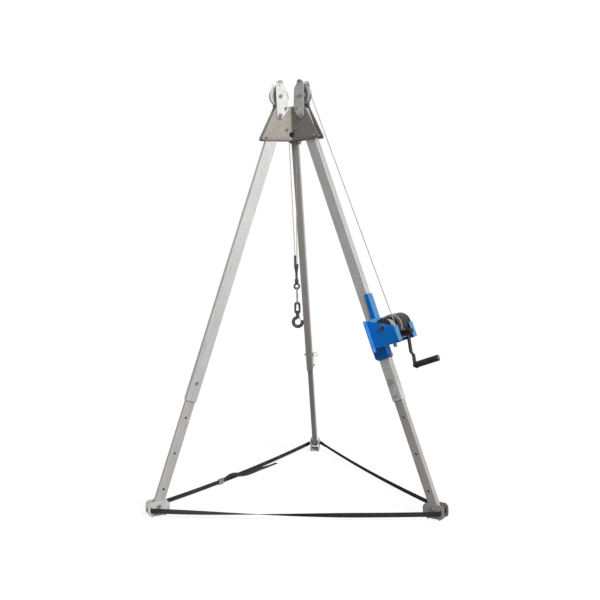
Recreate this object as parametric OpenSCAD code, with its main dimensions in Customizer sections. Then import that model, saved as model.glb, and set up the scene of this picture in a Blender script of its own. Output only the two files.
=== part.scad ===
// Rescue tripod with three telescopic legs, two head pulleys, a worm-gear hand winch,
// a swivel hook on two wire lines and a webbing strap round the feet.
// Millimetres, +Z up. The origin is the floor point under the hook.
// Each leg has its own frame: x outwards across the tube, y round the tripod, z up the tube,
// with the pivot bolt at zero.

/* [Stance] */
// Distance from the hoist axis to each leg's pivot bolt
pivot_r = 84; // [80:1:96]
// Height of the pivot bolts above the floor
pivot_h = 2163; // [2000:1:2300]
// Angle between an open leg and the vertical
leg_tilt = 20.2; // [18:0.1:22]
// Height of the foot hinge bolts above the floor
foot_h = 58; // [56:1:66]

/* [Legs] */
// Radial depth of the upper tubes
upper_d = 62; // [56:1:68]
// Width of the upper tubes
upper_w = 40; // [36:1:46]
// Wall of the upper tubes
upper_wall = 4; // [3:0.5:5]
// Rise of the upper tubes above their pivot bolts
upper_rise = 30; // [24:1:32]
// Length of the upper tubes below their pivot bolts
upper_drop = 1660; // [1550:5:1680]
// Play between the upper and lower tubes, each side
slide_gap = 0.6; // [0.4:0.1:1]
// Wall of the lower tubes
lower_wall = 3.5; // [3:0.5:4.5]
// Length of the lower tubes above the foot hinge
lower_rise = 1020; // [960:5:1100]
// Distance of the lock pin above the lower end of the upper tube
pin_up = 106; // [100:1:120]
// Spacing of the adjusting holes
hole_pitch = 200; // [190:1:210]
// Diameter of the lock pins
pin_d = 12; // [10:0.5:14]

/* [Head] */
// Thickness of the bent head plates
plate_t = 6; // [5:0.5:8]
// Height of the head plates
plate_h = 190; // [180:1:200]
// Rise of the head plates above the pivot bolts
plate_rise = 52; // [48:1:58]
// Reach of each plate's top corner from the hoist axis
plate_top_r = 106; // [102:1:114]
// Reach of each plate's bottom corner from the hoist axis
plate_bottom_r = 197; // [190:1:206]
// Inside radius of the bend
bend_r = 8; // [6:1:10]
// Diameter of the anchor eye in each bend
eye_d = 30; // [26:1:34]
// Height of the anchor eyes above the plates' lower edge
eye_rise = 33; // [30:1:40]
// Diameter of the pivot bolts
pivot_d = 14; // [12:1:16]
// Diameter of the stop sleeves that the legs bear on
stop_d = 16; // [14:1:18]

/* [Pulleys] */
// Inward offset of the sheave axles from the pivot bolts
axle_in = 6; // [0:1:10]
// Rise of the sheave axles above the pivot bolts
axle_rise = 109; // [106:1:116]
// Outer radius of the sheaves
sheave_r = 56; // [54:0.5:58]
// Depth of the rope groove, from the rim to the rope's centre
groove_in = 6; // [5:0.5:7]
// Width of the sheaves
sheave_w = 20; // [16:1:24]
// Diameter of the sheave axles
axle_d = 12; // [10:1:14]
// Thickness of the pulley cheeks
cheek_t = 5; // [4:0.5:6]
// Rise of the cheek tops above the pivot bolts
cheek_rise = 194; // [190:1:198]
// Outward lean of the flared cheek tops
cheek_flare = 32; // [20:1:40]

/* [Feet] */
// Length of each shoe outwards of its hinge
shoe_out = 62; // [58:1:68]
// Length of each shoe inwards of its hinge
shoe_in = 58; // [54:1:59]
// Width of the shoes
shoe_w = 58; // [56:1:64]
// Height of the shoes
shoe_top = 82; // [78:1:88]
// Plate thickness of the shoes
shoe_t = 5; // [4:0.5:6]
// Radius of the rounded ends of the shoe cheeks
shoe_round = 24; // [20:1:26]
// Height of the teeth under the shoes
tooth_h = 9; // [7:0.5:11]
// Diameter of the foot hinge bolts
foot_d = 12; // [10:1:14]

/* [Strap] */
// Width of the webbing
web_w = 25; // [20:1:28]
// Thickness of the webbing
web_t = 2.4; // [1.6:0.2:3]
// Distance of the webbing slots outwards of the foot hinges
web_out = 44; // [40:1:46]
// Height of the webbing's middle above the floor
web_h = 40; // [36:1:44]
// Distance of the buckle from the left foot along the strap
buckle_at = 590; // [300:10:650]
// Sag of the webbing midway between two feet
web_sag = 20; // [5:1:22]

/* [Winch] */
// Distance of the drum axis down the leg from its pivot bolt
drum_s = 1278; // [1200:1:1300]
// Distance of the drum axis out from the leg's centreline
drum_n = 104; // [104:1:107]
// Radius of the drum core
core_r = 38; // [36:0.5:40]
// Radius of the drum flanges
flange_r = 50; // [46:1:52]
// Distance along the drum from turn to turn
turn_pitch = 5.8; // [5.6:0.1:5.8]
// Half width of the winch housing
box_half = 100; // [100:1:106]
// Sheet thickness of the winch housing and its channel
sheet_t = 4; // [3:0.5:4.5]
// Distance of the housing's front lips from the leg's centreline
front_n = 172; // [172:1:178]
// Teeth of the worm wheel
wheel_teeth = 22; // [22:1:22]
// Module of the worm gear
gear_m = 4; // [4:0.1:4]
// Pitch radius of the worm
worm_r = 11; // [11:0.5:12]
// Crank radius
crank_r = 188; // [170:1:200]
// Angle of the crank from the leg's line, towards the near side
crank_set = 19; // [0:1:45]
// Length of the crank grip
grip_len = 136; // [120:1:150]
// Radius of the crank grip
grip_r = 16.5; // [14:0.5:18]

/* [Rope and hook] */
// Diameter of the wire rope
rope_d = 5; // [4:0.5:5]
// Height of the top of the hook's rope socket
socket_h = 1326; // [1250:1:1400]
// Outer radius of the hook's bowl
bowl_r = 36; // [34:1:38]
// Radius of the hook's bar
bar_r = 10; // [9:0.5:11]

/* [Hidden] */
$fn = 48;

// Clearances: running fits, bolts in plates, and curved faces that pass each other
run = 0.05;
fit = 0.05;
pass = 0.3;

LEFT = 210;
RIGHT = 330;
REAR = 90;

leg_len = (pivot_h - foot_h) / cos(leg_tilt);
foot_r = pivot_r + leg_len * sin(leg_tilt);
lower_d = upper_d - 2 * (upper_wall + slide_gap);
lower_w = upper_w - 2 * (upper_wall + slide_gap);
plate_in = upper_w / 2 + pass;
plate_out = plate_in + plate_t;
cheek_out = plate_out + cheek_t;
plate_z0 = pivot_h + plate_rise - plate_h;
pin_s = upper_drop - pin_up;
axle_r = pivot_r - axle_in;
axle_z = pivot_h + axle_rise;
rope_r = rope_d / 2;
pitch_r = sheave_r - groove_in;
wind_r = core_r + rope_r + 0.5;
wheel_r = gear_m * wheel_teeth / 2;
gear_a = wheel_r + worm_r;
lead = PI * gear_m;
// The drum fills the housing between the gear case and the near plate, and the rope fills the drum
worm_tube = 21.5;
drum_y0 = -worm_tube - 1.5;
drum_fl = 4;
drum_w = box_half - sheet_t + drum_y0 - 2 * drum_fl - 5;
turns = floor((drum_w - rope_d - 3.6) / turn_pitch);

// A child placed in one of the three arm planes, and in a leg's own frame
module arm(az) { rotate([0, 0, az]) children(); }
module leg(az) { arm(az) translate([pivot_r, 0, pivot_h]) rotate([0, -leg_tilt, 0]) children(); }

// A cylinder along y, centred, and one along x from x0 to x1
module ycyl(r, h) { rotate([90, 0, 0]) cylinder(r = r, h = h, center = true); }
module xcyl(r, x0, x1) { translate([x0, 0, 0]) rotate([0, 90, 0]) cylinder(r = r, h = x1 - x0); }
// A tube along y from y0 to y1
module ytube(ro, ri, y0, y1) {
    translate([0, y1, 0]) rotate([90, 0, 0]) difference() {
        cylinder(r = ro, h = y1 - y0);
        translate([0, 0, -1]) cylinder(r = ri, h = y1 - y0 + 2);
    }
}
// A hexagon along y whose near face is at y0 and far face at y1
module yhex(r, y0, y1) { translate([0, y1, 0]) rotate([90, 0, 0]) cylinder(r = r, h = y1 - y0, $fn = 6); }

// A rectangle with rounded corners
module rrect(x, y, r) {
    square([x - 2 * r, y], center = true);
    square([x, y - 2 * r], center = true);
    for (i = [-1, 1], j = [-1, 1]) translate([i * (x / 2 - r), j * (y / 2 - r)]) circle(r = r);
}

// A bolt along y with a head on one side and a nut on the other, clamping from -half to half
module ybolt(d, half, head) {
    ycyl(d / 2, 2 * half);
    yhex(d * 0.88, half, half + head);
    yhex(d * 0.88, -half - head, -half);
    ycyl(d / 2 - 0.5, 2 * (half + head) + 3);
}

// Leg stops: sleeve positions in the arm plane
out_stop_s = 143;
out_stop_n = upper_d / 2 + stop_d / 2 + pass;
out_stop = [pivot_r + out_stop_n * cos(leg_tilt) + out_stop_s * sin(leg_tilt),
    pivot_h + out_stop_n * sin(leg_tilt) - out_stop_s * cos(leg_tilt)];
in_stop = [pivot_r - upper_d / 2 - stop_d / 2 - pass, pivot_h - 74];
// Upper cheek bolt, keeper pin and their sizes
cheek_bolt = [pivot_r - 33, pivot_h + 40];
cheek_bolt_d = 10;
keeper = [axle_r + 5, axle_z + sheave_r + 5];
keeper_d = 7;

// One bent plate: a plan with two wings along neighbouring arms and a round bend between them,
// raised to the plate's height and then cut to its sloping ends
bend_c = (plate_out + bend_r) / sin(60);
bend_steps = 8;
function bend_at(r, a) = [bend_c + r * cos(a), r * sin(a)];
function wing_tip(r, s) = bend_at(r, 180 - 30 * s) + polar(plate_bottom_r - bend_c * cos(60), 60 * s);
module plate_plan() {
    polygon(concat(
        [wing_tip(bend_r, 1)], [for (k = [0 : bend_steps]) bend_at(bend_r, 150 + 60 * k / bend_steps)],
        [wing_tip(bend_r, -1), wing_tip(bend_r + plate_t, -1)],
        [for (k = [bend_steps : -1 : 0]) bend_at(bend_r + plate_t, 150 + 60 * k / bend_steps)],
        [wing_tip(bend_r + plate_t, 1)]));
}
module wing_cuts(side) {
    rotate([0, 0, side * 60]) {
        translate([0, side > 0 ? -plate_in + 4 : plate_out + 4, plate_z0]) rotate([90, 0, 0])
            linear_extrude(plate_t + 8) polygon([[plate_bottom_r - 8, -5], [plate_bottom_r - 8, 0],
                [plate_bottom_r - 1, 7], [plate_bottom_r - 3, 16], [plate_top_r + 2, plate_h - 8],
                [plate_top_r - 6, plate_h], [plate_top_r - 6, plate_h + 5], [plate_bottom_r + 60, plate_h + 5],
                [plate_bottom_r + 60, -5]]);
        translate([0, side > 0 ? -plate_in - plate_t / 2 : plate_in + plate_t / 2, 0]) {
            translate([pivot_r, 0, pivot_h]) ycyl(pivot_d / 2 + fit, 2 * plate_t);
            translate([cheek_bolt[0], 0, cheek_bolt[1]]) ycyl(cheek_bolt_d / 2 + fit, 2 * plate_t);
            translate([in_stop[0], 0, in_stop[1]]) ycyl(stop_d / 2 - 3 + fit, 2 * plate_t);
            translate([out_stop[0], 0, out_stop[1]]) ycyl(stop_d / 2 - 3 + fit, 2 * plate_t);
        }
    }
}
module head_plate(az) {
    rotate([0, 0, az]) difference() {
        translate([0, 0, plate_z0]) linear_extrude(plate_h) plate_plan();
        wing_cuts(1);
        wing_cuts(-1);
        translate([0, 0, plate_z0 + eye_rise]) xcyl(eye_d / 2, 5, 3 * bend_c);
    }
}
module head_plate_front() { color("#a9a29a") head_plate(270); }
module head_plate_right() { color("#8f8a84") head_plate(30); }
module head_plate_left() { color("#8f8a84") head_plate(150); }

// The bolts that the legs fold on, longer where the pulley cheeks are clamped too
module pivot_bolts() {
    color("#8d8d8c") for (az = [LEFT, RIGHT, REAR]) arm(az) translate([pivot_r, 0, pivot_h])
        ybolt(pivot_d, az == REAR ? plate_out : cheek_out, 8);
}
// Two shouldered bolts on each arm: the open leg bears on the outer, the folded leg on the inner
module stop_bolts() {
    color("#8d8d8c") for (az = [LEFT, RIGHT, REAR], p = [in_stop, out_stop]) arm(az)
        translate([p[0], 0, p[1]]) {
            ycyl(stop_d / 2, 2 * plate_in);
            ybolt(stop_d - 6, plate_out, 6);
        }
}

// Pulley cheeks: a flat plate with a flared top, cut to its outline
module cheek_outline() {
    circle(r = 19);
    polygon([[19, 0], [23, cheek_rise - 40], [20, cheek_rise - 14], [6, cheek_rise], [-14, cheek_rise - 3],
        [-42, cheek_rise - 46], [-49, 52], [-49, 32], [-15, -11.5]]);
}
module cheek(side) {
    bend_z = axle_rise + sheave_r + 13;
    flare = (cheek_rise + 10 - bend_z) * tan(cheek_flare);
    translate([pivot_r, 0, pivot_h]) difference() {
        intersection() {
            translate([0, 60, 0]) rotate([90, 0, 0]) linear_extrude(120) cheek_outline();
            translate([-80, 0, 0]) rotate([90, 0, 90]) linear_extrude(160) polygon([
                [side * plate_out, -40], [side * cheek_out, -40], [side * cheek_out, bend_z],
                [side * (cheek_out + flare), cheek_rise + 10],
                [side * (plate_out + flare), cheek_rise + 10], [side * plate_out, bend_z]]);
        }
        ycyl(pivot_d / 2 + fit, 4 * cheek_out);
        translate([cheek_bolt[0] - pivot_r, 0, cheek_bolt[1] - pivot_h])
            ycyl(cheek_bolt_d / 2 + fit, 4 * cheek_out);
        translate([-axle_in, 0, axle_rise]) ycyl(axle_d / 2 + fit, 4 * cheek_out);
        translate([keeper[0] - pivot_r, 0, keeper[1] - pivot_h]) ycyl(keeper_d / 2 + fit, 4 * cheek_out);
    }
}
module left_cheeks() { color("#e6e5e3") arm(LEFT) for (s = [-1, 1]) cheek(s); }
module right_cheeks() { color("#d0cfcd") arm(RIGHT) for (s = [-1, 1]) cheek(s); }

// Sheave axles, upper cheek bolts and rope keeper pins of both pulleys
module pulley_bolts() {
    color("#8d8d8c") for (az = [LEFT, RIGHT]) arm(az) {
        translate([axle_r, 0, axle_z]) ybolt(axle_d, cheek_out, 7);
        translate([cheek_bolt[0], 0, cheek_bolt[1]]) ybolt(cheek_bolt_d, cheek_out, 6);
        translate([keeper[0], 0, keeper[1]]) {
            ycyl(keeper_d / 2, 2 * cheek_out + 4);
        }
    }
}

// Flanged half bushes: a bearing sleeve under the sheave and a spacer out to the cheek
bush_r = axle_d / 2 + 4;
bush_side = sheave_w / 2 + pass;
module sheave_bushes() {
    color("#b8a57a") for (az = [LEFT, RIGHT], s = [0, 180]) arm(az) translate([axle_r, 0, axle_z])
        rotate([0, 0, s]) {
            difference() {
                union() {
                    translate([0, (bush_side + fit) / 2, 0]) ycyl(bush_r, bush_side - fit);
                    translate([0, (bush_side + plate_out) / 2, 0]) ycyl(bush_r + 5, plate_out - bush_side);
                }
                ycyl(axle_d / 2 + fit, 4 * plate_out);
            }
        }
}

// Sheave: grooved rim, recessed web and a bored hub
module sheave() {
    rotate([90, 0, 0]) rotate_extrude($fn = 96) difference() {
        translate([bush_r + run, -sheave_w / 2]) square([sheave_r - bush_r - run, sheave_w]);
        translate([pitch_r, 0]) circle(r = rope_r + pass);
        polygon([[pitch_r, -rope_r - pass], [sheave_r + 1, -sheave_w / 2 + 1.5],
            [sheave_r + 1, sheave_w / 2 - 1.5], [pitch_r, rope_r + pass]]);
        for (s = [-1, 1]) translate([bush_r + 8, s > 0 ? sheave_w / 2 - 5 : -sheave_w / 2 - 1])
            square([pitch_r - rope_r - bush_r - 14, 6]);
    }
}
module left_sheave() { color("#b9b7b3") arm(LEFT) translate([axle_r, 0, axle_z]) sheave(); }
module right_sheave() { color("#8b8986") arm(RIGHT) translate([axle_r, 0, axle_z]) sheave(); }

// Rope lines, each worked out in its arm's plane as a tangent to the sheave
line_off = 6;
ferrule_len = 51;
function polar(r, a) = [r * cos(a), r * sin(a)];
function fall_vec(h) = [line_off - axle_r, h - axle_z];
function fall_angle(h) = 360 + atan2(fall_vec(h)[1], fall_vec(h)[0]) - acos(pitch_r / norm(fall_vec(h)));
// Drum centre in the right arm's plane and the shared tangent from sheave to drum
drum_x = pivot_r + drum_n * cos(leg_tilt) + drum_s * sin(leg_tilt);
drum_z = pivot_h + drum_n * sin(leg_tilt) - drum_s * cos(leg_tilt);
lead_vec = [drum_x - axle_r, drum_z - axle_z];
lead_angle = atan2(lead_vec[1], lead_vec[0]) + acos((pitch_r - wind_r) / norm(lead_vec));
lead_y = drum_y0 - drum_fl - drum_w + rope_r + 1.1 + turns * turn_pitch;

module rod(a, b, r) {
    v = b - a;
    translate(a) rotate([0, acos(v[2] / norm(v)), atan2(v[1], v[0])]) cylinder(r = r, h = norm(v));
}
module rope_arc(a0, a1) {
    translate([axle_r, 0, axle_z]) rotate([90, -a0, 0]) mirror([0, 0, 1]) rotate([0, 0, 0])
        mirror([0, 1, 0]) rotate([0, 0, a0 - a1]) rotate_extrude(angle = a1 - a0, $fn = 96)
            translate([pitch_r, 0]) circle(r = rope_r, $fn = 24);
}
module rope_fall(h) {
    p = [axle_r, axle_z] + polar(pitch_r, fall_angle(h));
    rod([p[0], 0, p[1]], [line_off, 0, h + 0.15], rope_r);
}
// The left line leaves its sheave towards the keeper pin and ends there in an eye
keep_vec = [keeper[0] - axle_r, keeper[1] - axle_z];
keep_angle = atan2(keep_vec[1], keep_vec[0]) + acos(pitch_r / norm(keep_vec));
eye_w = 10;
module left_rope_arc() {
    a = [axle_r, axle_z] + polar(pitch_r, keep_angle);
    v = unit(keeper - a);
    b = keeper - 4 * v;
    c = keeper - 14 * v;
    color("#b4b4b2") arm(LEFT) difference() {
        union() {
            rope_arc(keep_angle, fall_angle(socket_h + ferrule_len));
            rod([a[0], 0, a[1]], [b[0], 0, b[1]], rope_r);
            rod([c[0], 0, c[1]], [b[0], 0, b[1]], rope_r + 1.4);
            translate([keeper[0], 0, keeper[1]]) ycyl(keeper_d / 2 + 3, eye_w);
        }
        translate([keeper[0], 0, keeper[1]]) ycyl(keeper_d / 2 + fit, 2 * eye_w);
    }
}
module left_rope_fall() { color("#c9c9c7") arm(LEFT) rope_fall(socket_h + ferrule_len); }
module right_rope_arc() { color("#b4b4b2") arm(RIGHT) rope_arc(lead_angle, fall_angle(socket_h)); }
module right_rope_fall() { color("#b4b4b2") arm(RIGHT) rope_fall(socket_h); }
lead_top = [axle_r, axle_z] + polar(pitch_r, lead_angle);
lead_low = [drum_x, drum_z] + polar(wind_r, lead_angle);
lead_a = [lead_top[0], 0, lead_top[1]];
lead_b = [lead_low[0], lead_y, lead_low[1]];
lead_dir = unit(lead_a - lead_b);
lead_gap = 0.12;
module rope_lead() {
    color("#b4b4b2") arm(RIGHT)
        rod(lead_a - lead_gap * lead_dir, lead_b + (rope_d + lead_gap) * lead_dir, rope_r);
}

// Legs: an upper tube hung on the pivot bolt and a lower tube with a row of adjusting holes
tube_round = 4;
module upper_leg(az) {
    leg(az) difference() {
        translate([0, 0, -upper_drop]) linear_extrude(upper_drop + upper_rise) difference() {
            rrect(upper_d, upper_w, tube_round);
            rrect(upper_d - 2 * upper_wall, upper_w - 2 * upper_wall, 1);
        }
        ycyl(pivot_d / 2 + run, 2 * upper_w);
        translate([0, 0, -pin_s]) ycyl(pin_d / 2 + run, 2 * upper_w);
    }
}
module left_upper_leg() { color("#c8c8c6") upper_leg(LEFT); }
module right_upper_leg() { color("#c8c8c6") upper_leg(RIGHT); }
module rear_upper_leg() { color("#c8c8c6") upper_leg(REAR); }

lower_end = 16;
module lower_leg(az) {
    leg(az) translate([0, 0, -leg_len]) difference() {
        translate([0, 0, -lower_end]) linear_extrude(lower_rise + lower_end) difference() {
            rrect(lower_d, lower_w, tube_round);
            rrect(lower_d - 2 * lower_wall, lower_w - 2 * lower_wall, 1);
        }
        ycyl(foot_d / 2 + run, 2 * lower_w);
        for (k = [-2 : 5]) {
            h = leg_len - pin_s - k * hole_pitch;
            if (h > lower_end + 3 * foot_d && h < lower_rise - pin_d)
                translate([0, 0, h]) ycyl(pin_d / 2 + 0.25, 2 * lower_w);
        }
    }
}
module left_lower_leg() { color("#bdbdbb") lower_leg(LEFT); }
module right_lower_leg() { color("#bdbdbb") lower_leg(RIGHT); }
module rear_lower_leg() { color("#bdbdbb") lower_leg(REAR); }

// Lock pin: headed stub with a pull ring on one side of the tube and the tip on the other
ring_r = 14;
ring_bar = 2;
head_y = upper_w / 2 + pass;
head_len = 8;
module lock_pin(az) {
    stub = lower_w / 2 + pass;
    leg(az) translate([0, 0, -pin_s]) {
        translate([0, -(stub + head_y) / 2, 0]) ycyl(pin_d / 2, head_y - stub);
        difference() {
            translate([0, -head_y - head_len / 2, 0]) ycyl(pin_d / 2 + 4, head_len);
            translate([0, -head_y - head_len / 2, 0]) cylinder(r = ring_bar + pass, h = 60, center = true);
        }
        translate([0, -head_y - head_len / 2 - ring_r, 0]) rotate([0, 90, 0]) rotate_extrude()
            translate([ring_r, 0]) circle(r = ring_bar, $fn = 24);
        translate([0, (stub + upper_w / 2 + 12) / 2, 0]) ycyl(pin_d / 2, upper_w / 2 + 12 - stub);
    }
}
module left_lock_pin() { color("#b3b3b1") lock_pin(LEFT); }
module right_lock_pin() { color("#b3b3b1") lock_pin(RIGHT); }
module rear_lock_pin() { color("#b3b3b1") lock_pin(REAR); }

// A tube swept along points: rings of n sides square to the path
function unit(v) = v / norm(v);
function path_dir(p, i) = unit(p[min(i + 1, len(p) - 1)] - p[max(i - 1, 0)]);
function ring_at(c, d, r, n, up) = let (a = unit(cross(d, up)), b = cross(a, d))
    [for (k = [0 : n - 1]) c + r * cos(360 * k / n) * a + r * sin(360 * k / n) * b];
module swept(p, r, n, up) {
    m = len(p);
    pts = [for (i = [0 : m - 1]) each ring_at(p[i], path_dir(p, i), r, n, up)];
    faces = concat(
        [for (k = [1 : n - 2]) [0, k + 1, k]],
        [for (k = [1 : n - 2]) [(m - 1) * n, (m - 1) * n + k, (m - 1) * n + k + 1]],
        [for (i = [0 : m - 2], k = [0 : n - 1]) each [
            [i * n + k, (i + 1) * n + (k + 1) % n, (i + 1) * n + k],
            [i * n + k, i * n + (k + 1) % n, (i + 1) * n + (k + 1) % n]]]);
    polyhedron(pts, faces);
}

// Lanyard: a thin wire from a screw low on the upper tube up to the pin's head
wire_d = 2.4;
tie_up = 24;
tie_s = upper_drop - tie_up;
module lanyard(az) {
    y0 = -upper_w / 2;
    span = tie_s - pin_s;
    top = pin_d / 2 + 4 + pass + wire_d / 2;
    route = [for (k = [0 : 14]) let (u = k / 14)
        [10 * sin(180 * u), y0 - 5 - 9 * sin(180 * u) * (1 - u) + (pass + 2.5 - 5 + 3.5) * u,
            -tie_s + 4.8 + u * (span - 4.8 - top)]];
    leg(az) {
        translate([0, y0, -tie_s]) {
            translate([0, -0.75, 0]) ycyl(7, 1.5);
            translate([0, -4, 0]) ycyl(4.5, 8);
            yhex(5.5, -11, -8);
        }
        swept(route, wire_d / 2, 8, [1, 0.2, 0]);
    }
}
module left_lanyard() { color("#9a9a98") lanyard(LEFT); }
module right_lanyard() { color("#9a9a98") lanyard(RIGHT); }
module rear_lanyard() { color("#9a9a98") lanyard(REAR); }

// Shoe: a channel with two round-ended cheeks, a floor plate and toothed edges under its ends
module shoe_outline() {
    for (x = [-shoe_in + shoe_round, shoe_out - shoe_round])
        for (z = [tooth_h + shoe_round - 3, shoe_top - shoe_round]) translate([x, z]) circle(r = shoe_round);
    translate([-shoe_in + shoe_round, tooth_h - 3])
        square([shoe_in + shoe_out - 2 * shoe_round, shoe_top - tooth_h + 3]);
    translate([-shoe_in, tooth_h + shoe_round - 3])
        square([shoe_in + shoe_out, shoe_top - tooth_h - 2 * shoe_round + 3]);
}
module shoe(az) {
    tooth_w = shoe_w / 4;
    arm(az) translate([foot_r, 0, 0]) difference() {
        union() {
            for (s = [-1, 1]) translate([0, s * (shoe_w - shoe_t) / 2 + shoe_t / 2, 0]) rotate([90, 0, 0])
                linear_extrude(shoe_t) shoe_outline();
            translate([-shoe_in + shoe_round, -shoe_w / 2, tooth_h])
                cube([shoe_in + shoe_out - 2 * shoe_round, shoe_w, shoe_t]);
            for (x = [-shoe_in + shoe_round, shoe_out - shoe_round - shoe_t]) translate([x, 0, 0])
                rotate([90, 0, 90]) linear_extrude(shoe_t)
                    for (k = [-1.5 : 1.5]) translate([k * tooth_w, 0]) polygon([
                        [-tooth_w / 2, tooth_h + 1], [-tooth_w / 2, tooth_h - 1], [-tooth_w / 4, 0],
                        [tooth_w / 4, 0], [tooth_w / 2, tooth_h - 1], [tooth_w / 2, tooth_h + 1]]);
        }
        translate([0, 0, foot_h]) ycyl(foot_d / 2 + fit, 2 * shoe_w);
        translate([web_out - web_t / 2 - pass, -shoe_w, web_h - web_w / 2 - pass])
            cube([web_t + 4, 2 * shoe_w, web_w + 4]);
    }
}
module left_shoe() { color("#9c9a97") shoe(LEFT); }
module right_shoe() { color("#9c9a97") shoe(RIGHT); }
module rear_shoe() { color("#9c9a97") shoe(REAR); }

// Hinge bolt of a shoe with the two spacer tubes that centre the leg in it
module foot_bolt(az) {
    arm(az) translate([foot_r, 0, foot_h]) {
        ybolt(foot_d, shoe_w / 2, 6);
        for (s = [-1, 1]) scale([1, s, 1])
            ytube(foot_d / 2 + 5, foot_d / 2 + fit, lower_w / 2 + pass, shoe_w / 2 - shoe_t);
    }
}
module left_foot_bolt() { color("#8d8d8c") foot_bolt(LEFT); }
module right_foot_bolt() { color("#8d8d8c") foot_bolt(RIGHT); }
module rear_foot_bolt() { color("#8d8d8c") foot_bolt(REAR); }

// Webbing through one shoe, with half of each span to its neighbours
web_r = foot_r + web_out;
web_y = shoe_w / 2 + 6;
web_mid = web_r * cos(60) + web_y * sin(60);
web_path = [polar(web_mid, -60), [web_r, -web_y], [web_r, web_y], polar(web_mid, 60)];
function side_of(v) = [-v[1], v[0]] / norm(v);
web_steps = 8;
function web_half(s) = [for (k = [0 : web_steps]) let (u = k / web_steps,
    c = [web_r, s * web_y] * (1 - u) + polar(web_mid, s * 60) * u)
    [c[0], c[1], web_h - web_sag * (2 * u - u * u)]];
function web_line(s) = side_of(s * (polar(web_mid, s * 60) - [web_r, s * web_y]));
function web_turn(s) = side_of([0, 1]) + web_line(s);
function web_side(s, k) = k == 0 ? web_turn(s) * 2 / (web_turn(s) * web_turn(s)) : web_line(s);
function web_ring(c, m) = [for (q = [[-1, -1], [1, -1], [1, 1], [-1, 1]])
    [c[0] + q[0] * m[0] * web_t / 2, c[1] + q[0] * m[1] * web_t / 2, c[2] + q[1] * web_w / 2]];
module lofted(rings) {
    m = len(rings);
    n = len(rings[0]);
    pts = [for (ring = rings) each ring];
    faces = concat(
        [for (k = [1 : n - 2]) [0, k, k + 1]],
        [for (k = [1 : n - 2]) [(m - 1) * n, (m - 1) * n + k + 1, (m - 1) * n + k]],
        [for (i = [0 : m - 2], k = [0 : n - 1]) each [
            [i * n + k, (i + 1) * n + k, (i + 1) * n + (k + 1) % n],
            [i * n + k, (i + 1) * n + (k + 1) % n, i * n + (k + 1) % n]]]);
    polyhedron(pts, faces);
}
module strap(az) {
    left_half = web_half(-1);
    right_half = web_half(1);
    arm(az) lofted(concat(
        [for (k = [web_steps : -1 : 0]) web_ring(left_half[k], web_side(-1, k))],
        [for (k = [0 : web_steps]) web_ring(right_half[k], web_side(1, k))]));
}
module left_strap() { color("#2b2b2d") strap(LEFT); }
module right_strap() { color("#2b2b2d") strap(RIGHT); }
module rear_strap() { color("#2b2b2d") strap(REAR); }

// Buckle threaded on the span from the left foot to the rear foot
module strap_buckle() {
    v = web_path[0] - web_path[1];
    u = buckle_at / norm(v);
    at = web_path[1] + v * u;
    slope = atan(web_sag * (2 - 2 * u) / norm(v));
    color("#b9b9b7") arm(LEFT) translate([at[0], at[1], web_h - web_sag * (2 * u - u * u)])
        rotate([0, slope, atan2(v[1], v[0])]) difference() {
            union() {
                cube([42, 9, web_w + 9], center = true);
                translate([10, 0, 0]) cylinder(r = 6.5, h = web_w + 9, center = true);
            }
            cube([60, web_t + 2 * pass, web_w + 2 * pass], center = true);
            for (s = [-1, 1]) translate([-6, s * 9, 0]) cube([18, 9, web_w - 4], center = true);
        }
}

// Winch parts are drawn in the right leg's frame, with the drum axis along y
module at_drum() { leg(RIGHT) translate([drum_n, 0, -drum_s]) children(); }
base_n = upper_d / 2 + pass;
case_r = 63;
screw_r = 51;
case_screws = [30, 100, 170, 222];
wing_n = 16;
box_top = 66;
box_front_top = 6;
lip_w = 38;
box_low = 88;
clamp_n = -upper_d / 2 - 6 - pass;
channel_up = 208;
channel_low = 152;
lock_up = 14;
module winch_channel() {
    ear = clamp_n - 10;
    fl = upper_w / 2 + pass;
    color("#1d5f9f") leg(RIGHT) translate([0, 0, -drum_s]) difference() {
        union() {
            translate([base_n, -fl - sheet_t, -channel_low])
                cube([sheet_t, 2 * (fl + sheet_t), channel_up + channel_low]);
            for (s = [-1, 1]) translate([0, s > 0 ? fl + sheet_t : -fl, 0]) rotate([90, 0, 0])
                linear_extrude(sheet_t) polygon([[base_n + sheet_t, -channel_low], [base_n + sheet_t, channel_up],
                    [15, channel_up], [5, 70], [ear, 58], [ear, 14 - channel_low], [ear + 14, -channel_low]]);
        }
        for (z = [40, -60]) translate([clamp_n, 0, z]) ycyl(5 + fit, 4 * upper_w);
        translate([0, 0, channel_up - 18]) xcyl(5, 0, 80);
        translate([0, 0, lock_up - channel_low]) xcyl(5 + fit, 0, 80);
        for (y = [-14, 14]) translate([0, y, 55]) xcyl(4 + fit, 0, 80);
        for (y = [-14, 14]) translate([0, y, -80]) xcyl(4 + fit, 0, 80);
    }
}

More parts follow.
